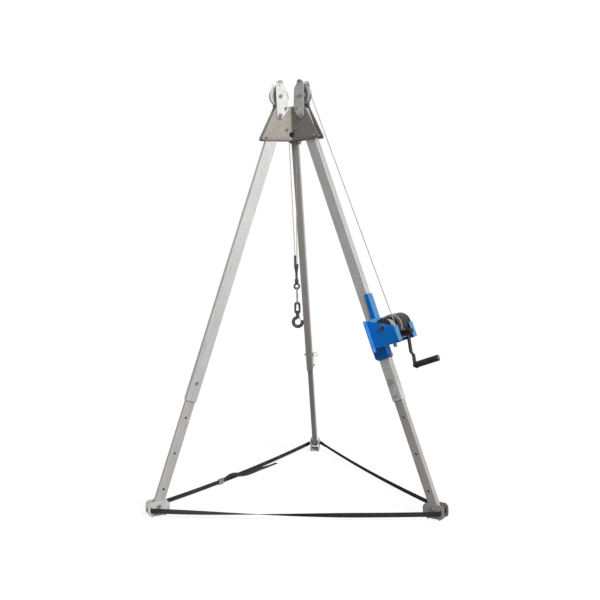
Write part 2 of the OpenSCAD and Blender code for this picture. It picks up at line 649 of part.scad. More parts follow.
// Housing: a back web, two side plates with sloping tops, front lips and back flanges
module winch_housing() {
    b0 = base_n + sheet_t;
    color("#1d5f9f") leg(RIGHT) translate([0, 0, -drum_s]) difference() {
        union() {
            translate([b0, -box_half, -box_low]) cube([sheet_t, 2 * box_half, box_low + box_top]);
            for (s = [-1, 1]) {
                translate([0, s > 0 ? box_half : -box_half + sheet_t, 0]) rotate([90, 0, 0])
                    linear_extrude(sheet_t) polygon([[wing_n, -box_low], [front_n, -box_low],
                        [front_n, -box_front_top], [wing_n, box_top]]);
                translate([front_n - sheet_t, s > 0 ? box_half - lip_w : -box_half, -box_low])
                    cube([sheet_t, lip_w, box_low - box_front_top]);
                translate([wing_n, s > 0 ? box_half - sheet_t : -box_half - 28, -box_low - 18])
                    cube([sheet_t, 28 + sheet_t, box_low + 18 + box_top]);
            }
        }
        translate([drum_n, 0, 0]) ycyl(16 + fit, 4 * box_half);
        for (s = [-1, 1], z = [-70, 40]) translate([0, s * (box_half + 15), z]) xcyl(5, 0, 60);
        for (y = [-14, 14], z = [55, -80]) translate([0, y, z]) xcyl(4 + fit, 0, 80);
        for (a = case_screws) translate([drum_n, box_half, 0]) rotate([0, a, 0]) translate([screw_r, 0, 0])
            ycyl(4 + fit, 4 * sheet_t);
    }
}

// Bolts of the winch: two clamp bolts behind the leg, a lock screw, and the housing and case screws
module winch_bolts() {
    ch = upper_w / 2 + pass + sheet_t;
    b0 = base_n + sheet_t;
    color("#8d8d8c") leg(RIGHT) translate([0, 0, -drum_s]) {
        for (z = [40, -60]) translate([clamp_n, 0, z]) ybolt(10, ch, 7);
        translate([0, 0, lock_up - channel_low]) {
            xcyl(5, base_n, b0 + 16);
            xcyl(9, b0, b0 + 9);
        }
        for (y = [-14, 14], z = [55, -80]) translate([0, y, z]) {
            xcyl(4, base_n, b0 + sheet_t);
            xcyl(7, b0 + sheet_t, b0 + sheet_t + 4.5);
        }
        for (a = case_screws) translate([drum_n, box_half, 0]) rotate([0, a, 0]) translate([screw_r, 0, 0]) {
            translate([0, -sheet_t - 4, 0]) ycyl(4, 2 * sheet_t + 8);
            translate([0, 2.5, 0]) ycyl(7, 5);
        }
    }
}

// Gear case: a round wheel chamber bolted to the far side plate, with the worm's tube across its front
wheel_w = 12;
case_near = -wheel_w / 2 - 5;
case_far = box_half - sheet_t;
worm_back = -48;
worm_front = 68;
worm_root = 7;
module gear_case() {
    tip = case_r - 6;
    color("#2f2e2e") at_drum() difference() {
        union() {
            translate([0, (case_near + case_far) / 2, 0]) ycyl(case_r, case_far - case_near);
            translate([0, 0, -gear_a]) xcyl(worm_tube, worm_back, worm_front);
        }
        difference() {
            translate([0, (case_far + 1 - wheel_w / 2 - 1) / 2, 0]) ycyl(tip, case_far + 1 + wheel_w / 2 + 1);
            for (a = case_screws) rotate([0, a, 0]) translate([screw_r, case_far - 15, 0]) ycyl(8, 30);
        }
        translate([0, 0, -gear_a]) {
            xcyl(worm_r + 5, worm_back + 15, worm_front - 25);
            xcyl(13 + fit, worm_back - 1, worm_front + 1);
        }
        ycyl(13 + pass, 6 * box_half);
        for (a = case_screws) rotate([0, a, 0]) translate([screw_r, case_far, 0])
            ycyl(4 + fit, 2 * (sheet_t + 8));
    }
}

// Plain bushes: two for the drum shaft in the side plates, two for the worm in its tube
module winch_bushes() {
    color("#b8a57a") at_drum() {
        for (s = [-1, 1]) scale([1, s, 1]) difference() {
            union() {
                ytube(16, 12 + run, box_half - sheet_t, box_half + 3);
                ytube(20, 12 + run, box_half, box_half + 3);
            }
            ycyl(12 + run, 4 * box_half);
        }
        translate([0, 0, -gear_a]) for (x = [[worm_back, worm_back + 15], [worm_front - 25, worm_front]])
            difference() {
                xcyl(13, x[0], x[1]);
                xcyl(worm_root + run, x[0] - 1, x[1] + 1);
            }
    }
}

// Drum: a core with two flanges, bored for its shaft
module winch_drum() {
    fl = drum_fl;
    y1 = drum_y0;
    color("#343333") at_drum() difference() {
        union() {
            translate([0, y1 - drum_w / 2 - fl, 0]) ycyl(core_r, drum_w + fl);
            translate([0, y1 - fl / 2, 0]) ycyl(flange_r, fl);
            translate([0, y1 - drum_w - 1.5 * fl, 0]) ycyl(flange_r, fl);
        }
        ycyl(12 + fit, 6 * box_half);
        for (a = [0 : 72 : 288]) rotate([0, a, 0]) translate([44.5, y1 - drum_w - 1.5 * fl, 0]) ycyl(3.2, 2 * fl);
    }
}
module drum_shaft() { color("#a5a5a3") at_drum() ycyl(12, 2 * (box_half + 8)); }

// Worm wheel: straight-cut teeth on a hub that is keyed to the drum shaft
module worm_wheel() {
    tip = wheel_r + 0.75 * gear_m;
    root = wheel_r - 1.05 * gear_m;
    step = 360 / wheel_teeth;
    color("#b08d4a") at_drum() difference() {
        union() {
            translate([0, wheel_w / 2, 0]) rotate([90, 0, 0]) linear_extrude(wheel_w) polygon([
                for (k = [0 : wheel_teeth - 1]) each [
                    polar(root, 90 + k * step - 0.28 * step), polar(tip, 90 + k * step - 0.10 * step),
                    polar(tip, 90 + k * step + 0.10 * step), polar(root, 90 + k * step + 0.28 * step)]]);
        }
        ycyl(12 + fit, 6 * box_half);
    }
}

// Rope on the drum: one unbroken tube whose last turn leaves straight along the lead
wind_n = 24 * turns;
wind_y1 = lead_y;
wind_y0 = wind_y1 - turns * turn_pitch;
leave_a = lead_angle - leg_tilt;
function wind_pt(i) = let (a = leave_a - 15 * (wind_n - i))
    [wind_r * cos(a), wind_y0 + turn_pitch * i / 24, wind_r * sin(a)];
out_dir = [lead_dir[0] * cos(leg_tilt) + lead_dir[2] * sin(leg_tilt), lead_dir[1],
    lead_dir[2] * cos(leg_tilt) - lead_dir[0] * sin(leg_tilt)];
in_dir = unit(wind_pt(1) - wind_pt(-1));
wind_pts = concat([wind_pt(0) - rope_d * in_dir, wind_pt(0) - 0.5 * in_dir],
    [for (i = [1 : wind_n - 1]) wind_pt(i)],
    [wind_pt(wind_n) + 0.5 * out_dir, wind_pt(wind_n) + (rope_d - 0.5) * out_dir,
        wind_pt(wind_n) + rope_d * out_dir]);
// Least distance from the points of one turn to the centreline of the next, less the rope itself
turn_gap = min([for (i = [2 : 26], j = [20 : 28]) norm(wind_pts[i + j] - wind_pts[i])]) - rope_d;
echo(least_gap_between_turns = turn_gap);
module rope_winding() { color("#a9a9a6") at_drum() swept(wind_pts, rope_r, 6, [0, 1, 0]); }

// Worm: a shaft with a single right-hand thread that drives the wheel
module worm_thread() {
    n = 24;
    loops = 3;
    ro = worm_r + 0.75 * gear_m;
    ri = worm_root - 0.6;
    m = n * loops;
    prof = [[ri, -0.27 * lead], [ro, -0.09 * lead], [ro, 0.09 * lead], [ri, 0.27 * lead]];
    pts = [for (i = [0 : m]) let (a = 360 * i / n, x = lead * (i / n - loops / 2)) for (p = prof)
        [x + p[1], -p[0] * sin(a), p[0] * cos(a)]];
    faces = concat([[0, 2, 1], [0, 3, 2]], [[4 * m, 4 * m + 1, 4 * m + 2], [4 * m, 4 * m + 2, 4 * m + 3]],
        [for (i = [0 : m - 1], k = [0 : 3]) each [
            [4 * i + k, 4 * i + 4 + (k + 1) % 4, 4 * i + 4 + k],
            [4 * i + k, 4 * i + (k + 1) % 4, 4 * i + 4 + (k + 1) % 4]]]);
    polyhedron(pts, faces);
}
crank_n = worm_front + 6;
arm_t = 8;
module worm_shaft() {
    color("#a5a5a3") at_drum() translate([0, 0, -gear_a]) {
        xcyl(worm_root, worm_back, crank_n);
        xcyl(6, crank_n, crank_n + arm_t + 16);
        worm_thread();
    }
}

// Crank: a flat arm with a boss and an outward step, a nut on the worm shaft, and a grip on its spindle
arm_w = 22;
arm_jog = 12;
module crank_arm() {
    z1 = -0.60 * crank_r;
    z2 = -0.70 * crank_r;
    color("#333131") at_drum() translate([crank_n, 0, -gear_a]) rotate([-crank_set, 0, 0]) difference() {
        union() {
            xcyl(18, -3, arm_t + 3);
            translate([0, arm_w / 2, 0]) rotate([90, 0, 0]) linear_extrude(arm_w) polygon([[0, 0], [arm_t, 0],
                [arm_t, z1 + 2], [arm_t + arm_jog, z2 + 2], [arm_t + arm_jog, -crank_r], [arm_jog, -crank_r],
                [arm_jog, z2 - 2], [0, z1 - 2]]);
            translate([0, 0, -crank_r]) xcyl(arm_w / 2 + 1, arm_jog, arm_jog + arm_t);
        }
        xcyl(6 + fit, -4, arm_t + 4);
        xcyl(worm_root + fit, -4, 0);
        translate([0, 0, -crank_r]) xcyl(5 + fit, arm_jog - 1, arm_jog + arm_t + 1);
    }
}
module crank_nut() {
    color("#3a3838") at_drum() translate([crank_n + arm_t + 3, 0, -gear_a]) difference() {
        union() {
            xcyl(17, 0, 15);
            translate([15, 0, 0]) rotate([0, 90, 0]) cylinder(r1 = 17, r2 = 12, h = 6);
        }
        xcyl(6 + fit, -1, 14);
    }
}
spin_gap = pass;
module crank_end() {
    translate([crank_n + arm_jog, 0, -gear_a]) rotate([-crank_set, 0, 0]) translate([0, 0, -crank_r]) children();
}
module grip_spindle() {
    color("#bcbcba") at_drum() crank_end() {
        xcyl(5, 0, arm_t + grip_len + 2 * spin_gap);
        xcyl(9, -5, 0);
        xcyl(9, arm_t + grip_len + 2 * spin_gap, arm_t + grip_len + 2 * spin_gap + 5);
    }
}
module crank_grip() {
    ribs = 8;
    step = (grip_len - 18) / ribs;
    color("#2e2c2c") at_drum() crank_end() translate([arm_t + spin_gap, 0, 0])
        rotate([0, 90, 0]) rotate_extrude() difference() {
            union() {
                translate([5 + run, 0]) square([grip_r - 3 - 5 - run, grip_len]);
                translate([5 + run, 0]) square([grip_r + 2 - 5 - run, 6]);
                for (k = [0 : ribs - 1]) translate([grip_r - 3.2, 9 + k * step])
                    polygon([[0, 0], [3.2, 2.5], [3.2, step - 5], [0, step - 2.5]]);
                translate([5 + run, grip_len - 8]) square([grip_r - 5 - run, 8]);
            }
        }
}

// Hook train on the hoist axis: ferrule, rope socket with eye, link, swivel eye, hook and latch
socket_r = 13.5;
cone_len = 49;
stem_len = 35;
collar_len = 28;
eye_major = 14;
eye_bar = 5.5;
eye_z = socket_h - cone_len - stem_len - collar_len - eye_major - eye_bar + 4;
module rope_ferrule() {
    color("#454342") arm(LEFT) translate([line_off, 0, socket_h]) cylinder(r = 6.5, h = ferrule_len);
}
module hook_socket() {
    color("#4b4947") {
        translate([0, 0, socket_h]) rotate_extrude() polygon([[0, 0], [socket_r - 1, 0], [socket_r, -1],
            [socket_r - 0.5, -12], [7, -cone_len], [7, -cone_len - stem_len], [11, -cone_len - stem_len - 2],
            [11, -cone_len - stem_len - collar_len + 3], [8, -cone_len - stem_len - collar_len],
            [0, -cone_len - stem_len - collar_len]]);
        translate([0, 0, eye_z]) rotate([90, 0, 0]) rotate_extrude()
            translate([eye_major, 0]) circle(r = eye_bar, $fn = 32);
    }
}

// An upright oval ring of round bar: two half rings joined by two straight sides
module oval(half_w, z0, z1, r) {
    for (s = [-1, 1]) translate([s * half_w, 0, z0]) cylinder(r = r, h = z1 - z0);
    translate([0, 0, z1]) rotate([90, 0, 0]) rotate_extrude(angle = 180)
        translate([half_w, 0]) circle(r = r, $fn = 32);
    translate([0, 0, z0]) rotate([90, 180, 0]) rotate_extrude(angle = 180)
        translate([half_w, 0]) circle(r = r, $fn = 32);
}
link_r = 3;
link_w = 10.5;
link_top = eye_z - eye_major + eye_bar + link_r + 0.1 - link_w;
link_len = 78;
module quick_link() {
    color("#c4c4c2") rotate([0, 0, 90]) {
        oval(link_w, link_top - link_len, link_top, link_r);
        translate([link_w, 0, link_top - link_len * 0.62]) cylinder(r = 5.2, h = link_len * 0.3, $fn = 6);
    }
}
sw_r = 6.5;
sw_w = 12;
sw_top = link_top - link_len - link_w + link_r + 0.1 + sw_r - sw_w;
sw_len = 36;
boss_z = sw_top - sw_len - sw_w - sw_r;
module swivel_eye() {
    color("#474544") difference() {
        union() {
            oval(sw_w, sw_top - sw_len, sw_top, sw_r);
            translate([0, 0, boss_z]) cylinder(r = 10, h = 16);
        }
        translate([0, 0, boss_z - 1]) cylinder(r = 5 + run, h = 30);
        translate([0, 0, boss_z + 16 - 0.01]) cylinder(r = 8.5, h = 20);
    }
}
bowl_c = bowl_r - bar_r;
hook_z = boss_z - 9 - bowl_c - bar_r;
tip_a = 4;
latch_a = 72;
latch_at = polar(bowl_c - 1, latch_a);
tip_at = polar(bowl_c, tip_a);
latch_len = norm(tip_at - latch_at) - bar_r - pass;
module swivel_hook() {
    color("#45423f") translate([0, 0, hook_z]) difference() {
        union() {
            rotate([90, 0, 0]) rotate([0, 0, 90]) rotate_extrude(angle = 270 + tip_a, $fn = 96)
                translate([bowl_c, 0]) circle(r = bar_r, $fn = 32);
            translate([bowl_c * cos(tip_a), 0, bowl_c * sin(tip_a)]) sphere(r = bar_r, $fn = 40);
            translate([0, 0, bowl_c]) cylinder(r = bar_r, h = boss_z - hook_z - bowl_c - pass);
            translate([0, 0, bowl_c]) cylinder(r = 5, h = boss_z - hook_z - bowl_c + 18);
            translate([0, 0, boss_z - hook_z + 16 + pass]) cylinder(r = 8, h = 4);
            translate([latch_at[0], 0, latch_at[1]]) ycyl(2.5, 16);
            translate([0, -8, bowl_c - 4]) cube([latch_at[0] + 3.5, 3.5, 8]);
            translate([0, 4.5, bowl_c - 4]) cube([latch_at[0] + 3.5, 3.5, 8]);
        }
        translate([latch_at[0], 0, latch_at[1]]) ytube(4 + pass, 2.5, -4.2, 4.2);
    }
}
module hook_latch() {
    v = tip_at - latch_at;
    color("#cfcfcc") translate([0, 0, hook_z]) translate([latch_at[0], 0, latch_at[1]])
        rotate([0, -atan2(v[1], v[0]), 0]) difference() {
            union() {
                ycyl(4, 7.6);
                translate([0, -3.8, -2]) cube([latch_len, 7.6, 4]);
            }
            ycyl(2.5 + run, 20);
        }
}

head_plate_front();
head_plate_right();
head_plate_left();
pivot_bolts();
stop_bolts();
left_cheeks();
right_cheeks();
pulley_bolts();
sheave_bushes();
left_sheave();
right_sheave();
left_rope_arc();
left_rope_fall();
right_rope_arc();
right_rope_fall();
rope_lead();
left_upper_leg();
right_upper_leg();
rear_upper_leg();
left_lower_leg();
right_lower_leg();
rear_lower_leg();
left_lock_pin();
right_lock_pin();
rear_lock_pin();
left_lanyard();
right_lanyard();
rear_lanyard();
left_shoe();
right_shoe();
rear_shoe();
left_foot_bolt();
right_foot_bolt();
rear_foot_bolt();
left_strap();
right_strap();
rear_strap();
strap_buckle();
winch_channel();
winch_housing();
winch_bolts();
gear_case();
winch_bushes();
winch_drum();
drum_shaft();
worm_wheel();
rope_winding();
worm_shaft();
crank_arm();
crank_nut();
grip_spindle();
crank_grip();
rope_ferrule();
hook_socket();
quick_link();
swivel_eye();
swivel_hook();
hook_latch();
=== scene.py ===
"""Looks of a rescue tripod: three telescopic legs, two head pulleys, a worm-gear winch, a hook and a foot strap."""

from math import acos, atan2, cos, pi, radians, sin

import bmesh
import bpy
from mathutils import Matrix, Vector


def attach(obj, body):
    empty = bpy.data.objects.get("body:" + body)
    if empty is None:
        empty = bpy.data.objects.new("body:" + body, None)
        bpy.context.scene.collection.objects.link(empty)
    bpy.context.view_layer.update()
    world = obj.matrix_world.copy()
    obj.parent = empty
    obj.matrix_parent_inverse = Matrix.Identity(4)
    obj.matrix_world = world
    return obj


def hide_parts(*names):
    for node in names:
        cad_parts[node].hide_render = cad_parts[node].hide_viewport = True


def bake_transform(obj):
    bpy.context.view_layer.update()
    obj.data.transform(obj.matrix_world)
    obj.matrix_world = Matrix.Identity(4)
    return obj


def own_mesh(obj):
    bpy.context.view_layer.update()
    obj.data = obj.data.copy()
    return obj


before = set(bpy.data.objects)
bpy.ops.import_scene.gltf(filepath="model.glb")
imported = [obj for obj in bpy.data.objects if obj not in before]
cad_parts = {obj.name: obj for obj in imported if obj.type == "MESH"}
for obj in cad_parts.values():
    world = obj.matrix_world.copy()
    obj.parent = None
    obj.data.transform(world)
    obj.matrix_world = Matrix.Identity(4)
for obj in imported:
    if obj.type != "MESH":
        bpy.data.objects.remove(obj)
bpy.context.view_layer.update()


# Head plates: three steel plates 6 mm thick, each bent to 120 degrees round a small radius and bolted
# back to back so that their wings pair up as forks. Blasted and zinc plated, so the face is dull and mottled.
class Shade:
    """A shader socket that stands in Python expressions, with numbers on either side of it."""

    def __init__(self, tree, socket):
        self.tree, self.socket = tree, socket

    def node(self, kind, settings={}, sockets={}, out=0):
        made = self.tree.nodes.new(kind)
        for name, value in settings.items():
            setattr(made, name, value)
        for name, value in sockets.items():
            if isinstance(value, Shade):
                self.tree.links.new(value.socket, made.inputs[name])
            else:
                made.inputs[name].default_value = value
        return Shade(self.tree, made.outputs[out])

    def sum(self, operation, first, second):
        return self.node("ShaderNodeMath", {"operation": operation}, {0: first, 1: second})

    def __add__(self, other):
        return self.sum("ADD", self, other)

    def __radd__(self, other):
        return self.sum("ADD", other, self)

    def __sub__(self, other):
        return self.sum("SUBTRACT", self, other)

    def __rsub__(self, other):
        return self.sum("SUBTRACT", other, self)

    def __mul__(self, other):
        return self.sum("MULTIPLY", self, other)

    def __rmul__(self, other):
        return self.sum("MULTIPLY", other, self)


def stretched(at, x, y, z):
    return at.node("ShaderNodeVectorMath", {"operation": "MULTIPLY"}, {0: at, 1: (x, y, z)})


def grain(at, size, detail=3.0):
    return at.node("ShaderNodeTexNoise", {}, {"Vector": at, "Scale": size, "Detail": detail})


def rise(value, low, high):
    return value.node("ShaderNodeMapRange", {}, {"Value": value, "From Min": low, "From Max": high})


def tint(red, green, blue):
    return tuple((v / 255 / 12.92 if v < 11 else ((v / 255 + 0.055) / 1.055) ** 2.4) for v in (red, green, blue)) + (1,)


def between(mask, plain, marked):
    return mask.node("ShaderNodeMix", {"data_type": "RGBA"}, {0: mask, 6: plain, 7: marked}, 2)


def in_frame(at, place, turn):
    return at.node("ShaderNodeMapping", {"vector_type": "TEXTURE"},
                   {"Vector": at, "Location": place, "Rotation": turn})


def parts_of(at):
    split = at.tree.nodes.new("ShaderNodeSeparateXYZ")
    at.tree.links.new(at.socket, split.inputs[0])
    return [Shade(at.tree, split.outputs[k]) for k in range(3)]


def finish(name, look, edge=0.0):
    material = bpy.data.materials.new(name)
    material.use_nodes = True
    tree = material.node_tree
    tree.nodes.clear()
    shader = tree.nodes.new("ShaderNodeBsdfPrincipled")
    tree.links.new(shader.outputs[0], tree.nodes.new("ShaderNodeOutputMaterial").inputs[0])
    at = Shade(tree, tree.nodes.new("ShaderNodeTexCoord").outputs["Object"])
    sockets = look(at)
    relief, depth = sockets.pop("relief")
    bump = {"Height": relief, "Distance": depth, "Strength": 1.0}
    if edge:
        bump["Normal"] = at.node("ShaderNodeBevel", {"samples": 4}, {"Radius": edge})
    sockets["Normal"] = at.node("ShaderNodeBump", {}, bump)
    for socket, value in sockets.items():
        if isinstance(value, Shade):
            tree.links.new(value.socket, shader.inputs[socket])
        else:
            shader.inputs[socket].default_value = value
    return material


def dress(material, *nodes):
    for name in nodes:
        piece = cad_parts[name]
        if not piece.material_slots:
            piece.data.materials.append(material)
        for row in piece.material_slots:
            row.material = material


def plate_look(at):
    mottle = grain(at, 38, 5)
    speck = rise(grain(at, 520, 2), 0.42, 0.62)
    height = parts_of(at)[2]
    rub = rise(grain(stretched(at, 30, 30, 420), 1.0, 2), 0.56, 0.7)
    low = 1 - rise(height, 2.026, 2.05)
    colour = between(rise(mottle, 0.35, 0.68), tint(168, 160, 150), tint(186, 179, 169))
    colour = between(0.35 * speck, colour, tint(134, 127, 118))
    colour = between(0.5 * low, colour, tint(112, 106, 100))
    # Painted shade: the right half of each plate, x above zero, is darkened to stand for the shaded right wing.
    colour = between(0.66 * rise(parts_of(at)[0], -0.004, 0.004), colour, tint(96, 91, 85))
    return {"Base Color": colour, "Metallic": 0.05, "Roughness": 0.46 + 0.18 * mottle - 0.08 * rub,
            "relief": (0.5 * speck + mottle, 0.0004)}


dress(finish("plated head plate", plate_look, 0.0015),
      "head_plate_front", "head_plate_right", "head_plate_left")


# Head bolts: zinc-plated hexagon bolts and nuts. The thick ones are the leg pivots, the shouldered ones
# the stops that an open or folded leg leans on. The pulley bolts and foot bolts share the finish.
def zinc_look(at):
    cloud = grain(at, 90, 4)
    turned = grain(stretched(at, 900, 900, 900), 1.0, 2)
    dull = rise(grain(at, 260, 3), 0.5, 0.66)
    colour = between(rise(cloud, 0.35, 0.7), tint(122, 121, 119), tint(164, 163, 160))
    colour = between(0.45 * dull, colour, tint(92, 89, 85))
    return {"Base Color": colour, "Metallic": 0.5, "Roughness": 0.26 + 0.2 * cloud + 0.1 * dull,
            "relief": (0.4 * turned + dull, 0.00015)}


zinc = finish("zinc fastener", zinc_look, 0.0008)
dress(zinc, "pivot_bolts", "stop_bolts", "pulley_bolts")


# Pulley cheeks: laser-cut plates 5 mm thick with tops flared outwards to lead the line in, two a side,
# clamped by the leg's pivot bolt. Bright galvanised, with a faint crystal pattern and light handling scratches.
def cheek_look(at, grey):
    spangle = at.node("ShaderNodeTexVoronoi", {}, {"Vector": at, "Scale": 95.0}, 1)
    spangle = at.node("ShaderNodeSeparateXYZ", {}, {0: spangle})
    scratch = rise(grain(stretched(at, 40, 40, 900), 1.0, 2), 0.6, 0.68)
    cloud = grain(at, 22, 4)
    colour = between(spangle, tint(grey, grey, grey - 1), tint(grey + 16, grey + 16, grey + 15))
    colour = between(0.35 * rise(cloud, 0.5, 0.75), colour, tint(grey - 32, grey - 33, grey - 36))
    return {"Base Color": colour, "Metallic": 0.1, "Roughness": 0.3 + 0.12 * spangle + 0.12 * scratch,
            "relief": (0.5 * spangle - scratch, 0.00012)}


# The two pairs are lit and shaded copies of one finish: the right pair is painted darker as painted shade.
dress(finish("bright galvanised cheek", lambda at: cheek_look(at, 226), 0.0012), "left_cheeks")
dress(finish("galvanised cheek darkened as painted shade", lambda at: cheek_look(at, 178), 0.0012), "right_cheeks")


# Sheaves: turned from aluminium bar with a rope groove, a recessed web and a bored hub, each running on two
# flanged bronze bushes. The lathe leaves fine rings; the groove is greyed and polished by the rope.
def sheave_look(at, azimuth):
    wheel = in_frame(at, (0.078 * cos(radians(azimuth)), 0.078 * sin(radians(azimuth)), 2.272),
                     (0, 0, radians(azimuth)))
    x, y, z = parts_of(wheel)
    radius = (x * x + z * z).sum("POWER", x * x + z * z, 0.5)
    rings = (radius * 5200).sum("SINE", radius * 5200, 0)
    rope_wear = (1 - rise(y * y, 0.000008, 0.00005)) * rise(radius, 0.044, 0.048)
    smear = rise(grain(stretched(wheel, 60, 60, 220), 1.0, 3), 0.45, 0.65)
    colour = between(0.55 * smear, tint(196, 195, 192), tint(150, 148, 144))
    colour = between(0.8 * rope_wear, colour, tint(92, 89, 85))
    return {"Base Color": colour, "Metallic": 0.55, "Roughness": 0.34 + 0.14 * smear - 0.08 * rope_wear,
            "relief": (0.3 * rings + smear, 0.00008)}


for side, azimuth in (("left", 210), ("right", 330)):
    dress(finish(f"turned {side} sheave", lambda at, a=azimuth: sheave_look(at, a), 0.001), f"{side}_sheave")


def bronze_look(at, grime):
    cloud = grain(at, 120, 4)
    film = rise(grain(at, 40, 3), 0.48, 0.68)
    colour = between(cloud, tint(168, 132, 74), tint(196, 160, 96))
    colour = between(grime + (0.94 - grime) * film, colour, tint(64, 55, 44))
    return {"Base Color": colour, "Metallic": 0.6, "Roughness": 0.28 + 0.22 * film,
            "relief": (cloud, 0.0001)}


dress(finish("oiled bronze", lambda at: bronze_look(at, 0.1)), "sheave_bushes", "worm_wheel")


# Upper legs: extruded aluminium tubes 62 x 40 mm with rounded corners, mill finish. Faint die lines run the
# whole length, the corners are brightened by handling and the lower end is rubbed by the lock pin's ring.
leg_azimuths = {"left": 210, "right": 330, "rear": 90}
leg_tilt = radians(20.2)


def along_leg(at, azimuth):
    turn = radians(azimuth)
    return in_frame(at, (0.084 * cos(turn), 0.084 * sin(turn), 2.163), (0, -leg_tilt, turn))


def tube_look(at, azimuth, half_depth, half_width, tones, rubbed):
    leg = along_leg(at, azimuth)
    x, y, z = parts_of(leg)
    low, high, warm = tones
    # Painted light and shade: each leg's grey changes along its length, from the low value at the bottom to the high
    # value at the top.
    pale, dark = (between(rise(z, -1.5, -0.1), *(tint(g - fade, g - fade - warm, g - fade - 1.6 * warm)
                                                 for g in (low, high))) for fade in (0, 13))
    die = grain(stretched(leg, 700, 700, 2.5), 1.0, 3)
    bloom = grain(stretched(leg, 26, 26, 5), 1.0, 5)
    scuff = rise(grain(stretched(leg, 170, 170, 40), 1.0, 4), 0.57, 0.68)
    score = rise(grain(stretched(leg, 260, 260, 7), 1.0, 2), 0.62, 0.7)
    corner = rise(x * x, (half_depth - 0.005) ** 2, half_depth ** 2) * rise(
        y * y, (half_width - 0.005) ** 2, half_width ** 2)
    colour = between(rise(bloom, 0.3, 0.7), pale, dark)
    colour = between(rubbed * score, colour, tint(128, 126, 122))
    colour = between(0.3 * scuff, colour, tint(150, 148, 144))
    colour = between(0.45 * corner, colour, tint(228, 227, 224))
    return {"Base Color": colour, "Metallic": 0.05,
            "Roughness": 0.40 + 0.16 * bloom + 0.14 * scuff - 0.08 * corner,
            "relief": (0.5 * die - 0.8 * scuff - score, 0.00016)}


# Painted light and shade: each upper tube has its own greys. The rear is darkest; left and rear are lighter towards the
# top, the right towards the bottom.
upper_painted_greys = {"left": (199, 238, 2), "right": (216, 199, 3), "rear": (159, 201, 6)}
for side, azimuth in leg_azimuths.items():
    dress(finish(f"mill {side} upper tube",
                 lambda at, a=azimuth, t=upper_painted_greys[side]: tube_look(at, a, 0.031, 0.020, t, 0.25),
                 0.0012), f"{side}_upper_leg")


# Lower legs: the smaller tubes that slide inside the upper ones, drilled through every 200 mm for the lock pin. Sliding
# has scored them lengthwise. Each leg's tube is painted its own even grey, darkest on the rear leg, as painted shade.
lower_painted_greys = {"left": (189, 189, 4), "right": (178, 178, 4), "rear": (143, 143, 5)}
for side, azimuth in leg_azimuths.items():
    dress(finish(f"scored {side} lower tube",
                 lambda at, a=azimuth, t=lower_painted_greys[side]: tube_look(at, a, 0.0264, 0.0154, t, 0.6),
                 0.001), f"{side}_lower_leg")


# Lock pins and lanyards: a headed steel pin with a pull ring crosses both tubes, and a thin twisted wire ties
# it to a screw low on the upper tube so that it isn't lost. The wire ends are crimped.
dress(zinc, *(f"{side}_lock_pin" for side in leg_azimuths))


def in_leg(side):
    return (Matrix.Rotation(radians(leg_azimuths[side]), 4, "Z") @ Matrix.Translation((0.084, 0, 2.163))
            @ Matrix.Rotation(-leg_tilt, 4, "Y"))


def piece_from(bm, name, *materials):
    bmesh.ops.recalc_face_normals(bm, faces=bm.faces)
    mesh = bpy.data.meshes.new(name)
    bm.to_mesh(mesh)
    bm.free()
    made = bpy.data.objects.new(name, mesh)
    bpy.context.collection.objects.link(made)
    for material in materials:
        mesh.materials.append(material)
    return made


def stations(route, step):
    """Points every step along a route of corner points, with the distance travelled."""
    places, gone = [], 0.0
    for start, end in zip(route, route[1:]):
        count = max(1, round((end - start).length / step))
        for k in range(count):
            places.append((start.lerp(end, k / count), gone + (end - start).length * k / count))
        gone += (end - start).length
    return places + [(route[-1], gone)]


def strand_line(bm, route, radius, lay, step, strands=6):
    """Wire rope along a route: a ring with one lobe for each strand, extruded step by step and turned as it goes."""
    far = bm.verts.layers.float.get("along") or bm.verts.layers.float.new("along")
    about = bm.verts.layers.float.get("around") or bm.verts.layers.float.new("around")
    places = stations(route, step)
    points = [p for p, _ in places]
    ring = bmesh.ops.create_circle(bm, segments=4 * strands, radius=radius)["verts"]
    edges = list({e for v in ring for e in v.link_edges})
    for v in ring:
        angle = atan2(v.co.y, v.co.x)
        lobe = 0.5 + 0.5 * cos(strands * angle)
        v.co *= 0.86 + 0.14 * lobe
        v[about] = lobe
    heading = Vector((0, 0, 1))
    frame_now = Matrix.Identity(3)
    placed = Matrix.Identity(4)
    first = None
    for k, (point, gone) in enumerate(places):
        ahead = (points[min(k + 1, len(points) - 1)] - points[max(k - 1, 0)]).normalized()
        frame_now = heading.rotation_difference(ahead).to_matrix() @ frame_now
        heading = ahead
        wanted = (Matrix.Translation(point) @ frame_now.to_4x4() @ Matrix.Rotation(2 * pi * gone / lay, 4, "Z"))
        if k:
            grown = bmesh.ops.extrude_edge_only(bm, edges=edges)["geom"]
            ring = [g for g in grown if isinstance(g, bmesh.types.BMVert)]
            edges = [g for g in grown if isinstance(g, bmesh.types.BMEdge)]
        bmesh.ops.transform(bm, matrix=wanted @ placed.inverted(), verts=ring)
        placed = wanted
        for v in ring:
            v[far] = gone
        first = first or list(edges)
    for loop in (first, edges):
        bmesh.ops.contextual_create(bm, geom=loop)
    for face in bm.faces:
        face.smooth = True
    return points


def rope_look(at):
    along = at.node("ShaderNodeAttribute", {"attribute_name": "along"}, {}, 2)
    around = at.node("ShaderNodeAttribute", {"attribute_name": "around"}, {}, 2)
    wires = (along * 5200 + around * 5).sum("SINE", along * 5200 + around * 5, 0)
    grease = rise(grain(at, 160, 4), 0.46, 0.7)
    # Painted shade: the grooves between the strands are painted much darker than the strands' crowns.
    colour = between(rise(around, 0.0, 0.8), tint(112, 110, 107), tint(222, 222, 219))
    colour = between(0.22 * rise(wires, -0.2, 0.9), colour, tint(140, 138, 134))
    colour = between(0.3 * grease, colour, tint(128, 124, 118))
    return {"Base Color": colour, "Metallic": 0.25, "Roughness": 0.34 + 0.2 * grease,
            "relief": (wires + around, 0.00025)}


wire_rope = finish("galvanised wire rope", rope_look)


